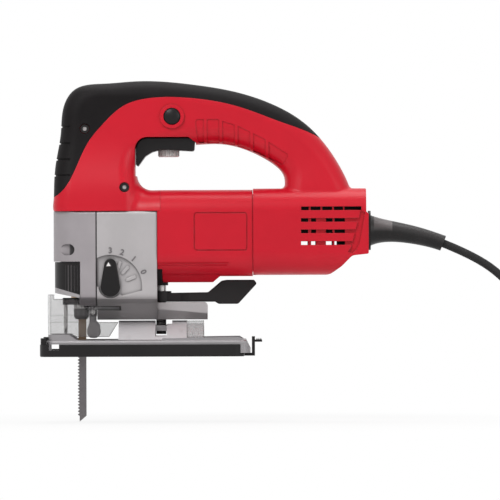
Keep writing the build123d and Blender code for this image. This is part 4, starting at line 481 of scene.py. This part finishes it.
# the controls' pale rubbed corners are strong enough to paint a highlight along their edges as well
control_plastic = moulded("control_plastic", rgb(22, 20, 21), 0.3, 0.22, 0.008, 0.1, edge_mm=1.0, rub_and_highlight=0.7)
lever_plastic = moulded("lever_plastic", rgb(27, 25, 26), 0.36, 0.22, 0.008, 0.1, edge_mm=0.4, tint=pale_lip)
sole_plastic = moulded("sole_plastic", rgb(28, 26, 27), 0.46, 0.5, 0.02, 0.14)
carbon = moulded("carbon", rgb(46, 46, 49), 0.55, 0.3, 0.02, 0.15)
dial_grey = moulded("dial_grey", rgb(206, 204, 202), 0.4, 0.3, 0.01, 0.05)
mark_white = moulded("mark_white", rgb(236, 234, 232), 0.4, 0.2, 0.004, 0.02)
cast_grey = casting("cast_grey", CAST, CASE_SHADE_TOP)
cover_grey = casting("cover_grey", COVER, COVER_SHADE_TOP, dark_slot)
figure_grey = casting("figure_grey", rgb(112, 108, 110))
foot_steel = bare_metal("foot_steel", SHEET, 0.42, (0.04, 1, 1), 0.3, metallic=0.5)
saddle_steel = bare_metal("saddle_steel", rgb(210, 206, 208), 0.56, (0.05, 1, 1), 0.3, metallic=0.1)
ground_steel = bare_metal("ground_steel", rgb(186, 184, 182), 0.24, (1, 0.08, 1), 0.2)
turned_steel = bare_metal("turned_steel", rgb(172, 170, 168), 0.28, (1, 1, 0.05), 0.2)
dark_steel = bare_metal("dark_steel", rgb(70, 68, 68), 0.36, (1, 1, 0.2), 0.3, metallic=0.7)
arm_steel = bare_metal("arm_steel", rgb(128, 125, 126), 0.34, (1, 1, 0.3), 0.3, metallic=0.6)
blade_steel = bare_metal("blade_steel", rgb(116, 112, 113), 0.34, (1, 1, 0.05), 0.25, depth_mm=0.01,
                         stain=rgb(86, 80, 78), metallic=0.8, edge_mm=0.12, tint=tan_shank)
screw_steel = bare_metal("screw_steel", rgb(44, 42, 42), 0.3, (1, 0.2, 1), 0.25, metallic=0.7, tint=recess_highlight)
bronze = bare_metal("bronze", rgb(176, 138, 84), 0.4, (1, 1, 0.1), 0.3)
segments = bare_metal("segments", rgb(190, 112, 68), 0.26, (0.05, 1, 1), 0.25)
pin_brass = bare_metal("pin_brass", rgb(196, 190, 176), 0.2, (0.05, 1, 1), 0.2)
thread_steel = threaded("thread_steel", rgb(190, 188, 187))
laminations = sawn_sheets("laminations", rgb(120, 120, 124))
copper = wound_wire("copper", rgb(176, 98, 54))
clear_guard = clear_moulding("clear_guard", rgb(160, 158, 159), 0.16, GUARD_RAIL)
clear_duct = clear_moulding("clear_duct", rgb(204, 202, 203), 0.36)
cord_rubber = sheath("cord_rubber", rgb(30, 29, 29), 0.42)
guard_rubber = sheath("guard_rubber", rgb(26, 25, 25), 0.2, top_light_and_collar_highlight)

DRESS = {
    red_plastic: ("motor_housing", "handle_left"),
    red_vented: ("handle_right",),
    grip_rubber: ("grip_left", "grip_right", "plunger_seal"),
    black_plastic: ("bolt_block", "clamp_lever", "cooling_fan", "brush_carrier", "switch_body", "cord_clamp",
                    "cord_tie"),
    control_plastic: ("trigger", "lock_button", "orbit_knob"),
    lever_plastic: ("release_lever",),
    sole_plastic: ("sole_cover",),
    cast_grey: ("gear_housing",),
    cover_grey: ("front_cover",),
    foot_steel: ("foot_plate",),
    saddle_steel: ("foot_saddle", "clamp_nut"),
    ground_steel: ("yoke", "drive_gear", "crank_pin", "gear_axle", "front_bearing", "rear_bearing", "brush_springs",
                   "armature_shaft"),
    turned_steel: ("plunger", "guide_roller", "pivot_pin", "release_pin", "wire_guard"),
    thread_steel: ("clamp_bolt",),
    dark_steel: ("blade_clamp",),
    arm_steel: ("roller_arm",),
    blade_steel: ("blade",),
    screw_steel: ("cover_screws", "handle_screws"),
    bronze: ("lower_bush", "upper_bush", "brush_holders"),
    laminations: ("armature_stack", "field_stack"),
    copper: ("armature_windings", "field_coils"),
    segments: ("commutator",),
    carbon: ("brushes",),
    dial_grey: ("speed_dial", "capacitor"),
    clear_guard: ("clear_guard",),
    clear_duct: ("dust_duct",),
    cord_rubber: ("cord_lead", "cord_coil", "plug_body"),
    guard_rubber: ("cord_guard",),
    pin_brass: ("plug_pins",),
}


def dress(piece, material):
    """The piece's only material."""
    piece.data.materials.clear()
    piece.data.materials.append(material)


for material, names in DRESS.items():
    for name in names:
        dress(nodes[name], material)


# Small marks

KNOB_PIVOT = Vector((-29.9, 0.0, 54.2)) * MM
CASE_FLANK = -33.0 * MM
FIGURES = (("3", 0), ("2", 19), ("1", 40), ("0", 66))       # each number and its angle round the knob
FIGURE_RADIUS = 28.0 * MM
FIGURE_HEIGHT = 4.4 * MM
FIGURE_PROUD = 0.3 * MM
FIGURE_EDGE = 0.06 * MM
CAPITAL_SHARE = 0.7             # height of a number as a share of its font size
POINTER_PLACE = (-31.2, 71.2)   # X and Z of the pointer's middle, in millimetres
POINTER_RADIUS = 2.1 * MM
POINTER_THICK = 0.5 * MM
POINTER_SUNK = 0.44             # depth of the pointer's root below the knob's face, in millimetres


def add_piece(name, bm, material, body):
    """A new piece from a finished bmesh, riding on a body."""
    mesh = bpy.data.meshes.new(name)
    bm.to_mesh(mesh)
    bm.free()
    piece = bpy.data.objects.new(name, mesh)
    scene.collection.objects.link(piece)
    dress(piece, material)
    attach(piece, body)


def raised_figure(number, angle):
    """One of the selector's numbers, cast proud of the flank."""
    letter = bpy.data.curves.new("figure", "FONT")
    letter.body = number
    letter.size = FIGURE_HEIGHT / CAPITAL_SHARE
    letter.align_x = "CENTER"
    letter.align_y = "CENTER"
    letter.extrude = FIGURE_PROUD
    letter.bevel_depth = FIGURE_EDGE
    letter.resolution_u = 4
    holder = bpy.data.objects.new("figure", letter)
    mesh = bpy.data.meshes.new_from_object(holder)
    bpy.data.objects.remove(holder)
    bm = bmesh.new()
    bm.from_mesh(mesh)
    bpy.data.meshes.remove(mesh)
    turned = Matrix.Translation(KNOB_PIVOT) @ Matrix.Rotation(math.radians(angle), 4, "Y")
    out = Matrix.Translation((0, CASE_FLANK, FIGURE_RADIUS))
    upright = Matrix.Rotation(math.pi / 2, 4, "X")
    bmesh.ops.transform(bm, matrix=turned @ out @ upright, verts=bm.verts)
    add_piece("figure_" + number, bm, figure_grey, "housing")


def pointer():
    """White triangle let into the knob's tip."""
    knob_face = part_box("orbit_knob")[0][Y]
    bm = bmesh.new()
    bmesh.ops.create_circle(bm, cap_ends=True, radius=POINTER_RADIUS, segments=3)
    top = bmesh.ops.extrude_face_region(bm, geom=list(bm.faces))
    raised = [v for v in top["geom"] if isinstance(v, bmesh.types.BMVert)]
    bmesh.ops.translate(bm, vec=(0, 0, POINTER_THICK), verts=raised)
    bmesh.ops.recalc_face_normals(bm, faces=bm.faces)
    place = Vector((POINTER_PLACE[0], knob_face / MM + POINTER_SUNK, POINTER_PLACE[1])) * MM
    upright = Matrix.Rotation(math.pi / 2, 4, "X")
    bmesh.ops.transform(bm, matrix=Matrix.Translation(place) @ upright, verts=bm.verts)
    add_piece("pointer", bm, mark_white, "selector")


for number, angle in FIGURES:
    raised_figure(number, angle)
pointer()


# Mains lead: one smooth line from the guard through the coil to the plug

CORD_DIAMETER = 6.5 * MM
FLOOR = -51.1 * MM
LEAD = ((229.0, 0.0, 87.0), (254.0, 0.0, 76.9), (278.0, -4.0, 59.0), (297.0, -13.0, 34.0), (312.0, -24.0, 7.0),
        (330.0, -37.0, -15.0))
COIL_CENTRE = Vector((400.0, 0.0, 0.0)) * MM
COIL_INNER = 28.5 * MM
COIL_TURNS = 2.5                # turns in one layer
COIL_LAYERS = 4
COIL_STEP = 7.1 * MM
LAYER_CHANGE = 0.5              # turns over which the cord goes down to the next layer
TIE_THICK = 1.3 * MM
NODES_A_TURN = 16
TURN_STEP = 1e-4
CORD_APPROACH = 42.0 * MM
CORD_TAIL = 26.0 * MM


def coil_point(turn, grow=1.0):
    """Centre of the cord after so many turns, a layer lower at each reversal."""
    layer = min(int(turn / COIL_TURNS), COIL_LAYERS - 1)
    share = turn / COIL_TURNS - layer
    inward = share if layer % 2 == 0 else 1 - share
    radius = (COIL_INNER + COIL_STEP * COIL_TURNS * (1 - inward)) * grow
    height = FLOOR + TIE_THICK + CORD_DIAMETER / 2 + COIL_STEP * (COIL_LAYERS - 1)
    for reversal in range(1, COIL_LAYERS):
        sunk = min(max((turn - reversal * COIL_TURNS) / LAYER_CHANGE + 0.5, 0.0), 1.0)
        height -= COIL_STEP * sunk * sunk * (3 - 2 * sunk)
    angle = 2 * math.pi * turn - math.pi / 2
    return COIL_CENTRE + Vector((radius * math.cos(angle), radius * math.sin(angle), height))


def coil_way(turn):
    """The way the cord runs after so many turns."""
    return (coil_point(turn + TURN_STEP) - coil_point(turn - TURN_STEP)).normalized()


def lay_cord():
    """The lead as one spline; the coil's control points lie a little outside the turns that they draw."""
    span = COIL_TURNS * COIL_LAYERS
    spread = 2 / (1 + math.cos(math.pi / NODES_A_TURN))
    points = [Vector(p) * MM for p in LEAD]
    points += [coil_point(0) - coil_way(0) * CORD_APPROACH * share for share in (1.0, 0.2)]
    points += [coil_point(place / NODES_A_TURN, spread) for place in range(1, round(span * NODES_A_TURN))]
    points += [coil_point(span) + coil_way(span) * CORD_TAIL * share for share in (0.1, 1.0)]
    curve = bpy.data.curves.new("mains_cord", "CURVE")
    curve.dimensions = "3D"
    curve.bevel_depth = CORD_DIAMETER / 2
    curve.bevel_resolution = 5
    curve.use_fill_caps = True
    curve.resolution_u = 6
    spline = curve.splines.new("NURBS")
    spline.points.add(len(points) - 1)
    for point, place in zip(spline.points, points):
        point.co = (*place, 1)
    spline.order_u = 3
    spline.use_endpoint_u = True
    lead = bpy.data.objects.new("mains_cord", curve)
    scene.collection.objects.link(lead)
    dress(lead, cord_rubber)
    return lead


mains_cord = lay_cord()
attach(mains_cord, "housing")
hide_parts("cord_lead", "cord_coil")


# Studio

FRAME_PIXELS = 500
PIXEL = 0.78 * MM
ORIGIN_PIXEL = (149.5, 355.5)   # where the frame's origin lies in the picture
MIDDLE = FRAME_PIXELS / 2
VIEW_CENTRE = Vector(((MIDDLE - ORIGIN_PIXEL[0]) * PIXEL, 0, (ORIGIN_PIXEL[1] - MIDDLE) * PIXEL))
CAMERA_AWAY = 5.0
SENSOR = 36
ROLL = math.radians(0.2)
FLOOR_HALF = 6
FLOOR_GAP = 0.6 * MM
SHADOW_SHIFT = (-0.04, 0, 0)
SHADOW_REACH = (0.16, 0.36)     # distance from the saw over which its faint shadow on the floor ends
SHADOW_SHARE = 0.12
ROOM_LIGHT = 0.3
LAMP_AIM = (0.05, 0, 0.1)
WHITE = (1, 1, 1, 1)


def set_camera():
    """Level view square to the saw's flank, from far enough away to be nearly parallel."""
    data = bpy.data.cameras.new("camera")
    data.sensor_width = SENSOR
    data.lens = SENSOR * CAMERA_AWAY / (FRAME_PIXELS * PIXEL)
    camera = bpy.data.objects.new("camera", data)
    stand = Matrix.Translation(VIEW_CENTRE + Vector((0, -CAMERA_AWAY, 0)))
    camera.matrix_world = stand @ Matrix.Rotation(math.pi / 2, 4, "X") @ Matrix.Rotation(-ROLL, 4, "Z")
    scene.collection.objects.link(camera)
    scene.camera = camera


def lamp(name, place, size, power):
    """Soft rectangular lamp turned to the saw."""
    data = bpy.data.lights.new(name, "AREA")
    data.shape = "RECTANGLE"
    data.size, data.size_y = size
    data.energy = power
    light = bpy.data.objects.new(name, data)
    way = (Vector(LAMP_AIM) - Vector(place)).to_track_quat("-Z", "Y")
    light.matrix_world = Matrix.Translation(place) @ way.to_matrix().to_4x4()
    scene.collection.objects.link(light)


def background_rays(tap):
    """1 for rays that show the background: straight to the camera, through clear plastic or off a shiny face."""
    rays = tap.node("LightPath").socket.node.outputs
    kinds = ("Is Camera Ray", "Is Transmission Ray", "Is Glossy Ray")
    camera, clear, shiny = [Tap(tap.tree, rays[kind]) for kind in kinds]
    return (camera + clear + shiny).math("MINIMUM", 1.0)


def floor_white():
    """White floor that keeps a faint shadow under the saw and can be seen through from below."""
    material = bpy.data.materials.new("floor_white")
    material.use_nodes = True
    tree = material.node_tree
    tree.nodes.remove(tree.nodes["Principled BSDF"])
    tap = Tap(tree)
    matt = tap.node("BsdfDiffuse", None, {"Color": (0.86, 0.86, 0.86, 1)})
    glow = tap.node("Emission", None, {"Color": WHITE, "Strength": 1.0})
    spot = tap.node("Mapping", None, {"Vector": tap.node("TexCoord", out=3), "Location": SHADOW_SHIFT})
    away = tap.node("VectorMath", {"operation": "LENGTH"}, {0: spot}, out=1).step(*SHADOW_REACH)
    plain = background_rays(tap) * (away * SHADOW_SHARE + (1 - SHADOW_SHARE))
    upper = tap.node("MixShader", None, {0: plain, 1: matt, 2: glow})
    from_below = tap.node("NewGeometry", out=6)
    both = tap.node("MixShader", None, {0: from_below, 1: upper, 2: tap.node("BsdfTransparent")})
    tree.links.new(both.socket, tree.nodes["Material Output"].inputs["Surface"])
    return material


def lay_floor():
    """Floor just under the coil of the lead."""
    mesh = bpy.data.meshes.new("floor")
    bm = bmesh.new()
    bmesh.ops.create_grid(bm, x_segments=1, y_segments=1, size=FLOOR_HALF)
    bmesh.ops.translate(bm, vec=(0, 0, FLOOR - FLOOR_GAP), verts=bm.verts)
    bm.to_mesh(mesh)
    bm.free()
    floor = bpy.data.objects.new("floor", mesh)
    scene.collection.objects.link(floor)
    dress(floor, floor_white())


def light_room():
    """White room with an even light, and three lamps."""
    world = bpy.data.worlds.new("studio")
    scene.world = world
    world.use_nodes = True
    tree = world.node_tree
    tree.nodes.clear()
    tap = Tap(tree)
    soft = tap.node("Background", None, {"Color": WHITE, "Strength": ROOM_LIGHT})
    white = tap.node("Background", None, {"Color": WHITE, "Strength": 1.0})
    both = tap.node("MixShader", None, {0: background_rays(tap), 1: soft, 2: white})
    tap.node("OutputWorld", None, {"Surface": both})
    lamp("key", (-0.45, -0.9, 0.95), (0.7, 0.5), 8.2)
    lamp("top", (0.1, 0.1, 1.1), (0.9, 0.6), 5.8)
    lamp("fill", (0.9, -0.8, 0.4), (0.6, 0.6), 2.2)


scene.view_settings.view_transform = "Standard"
set_camera()
lay_floor()
light_room()
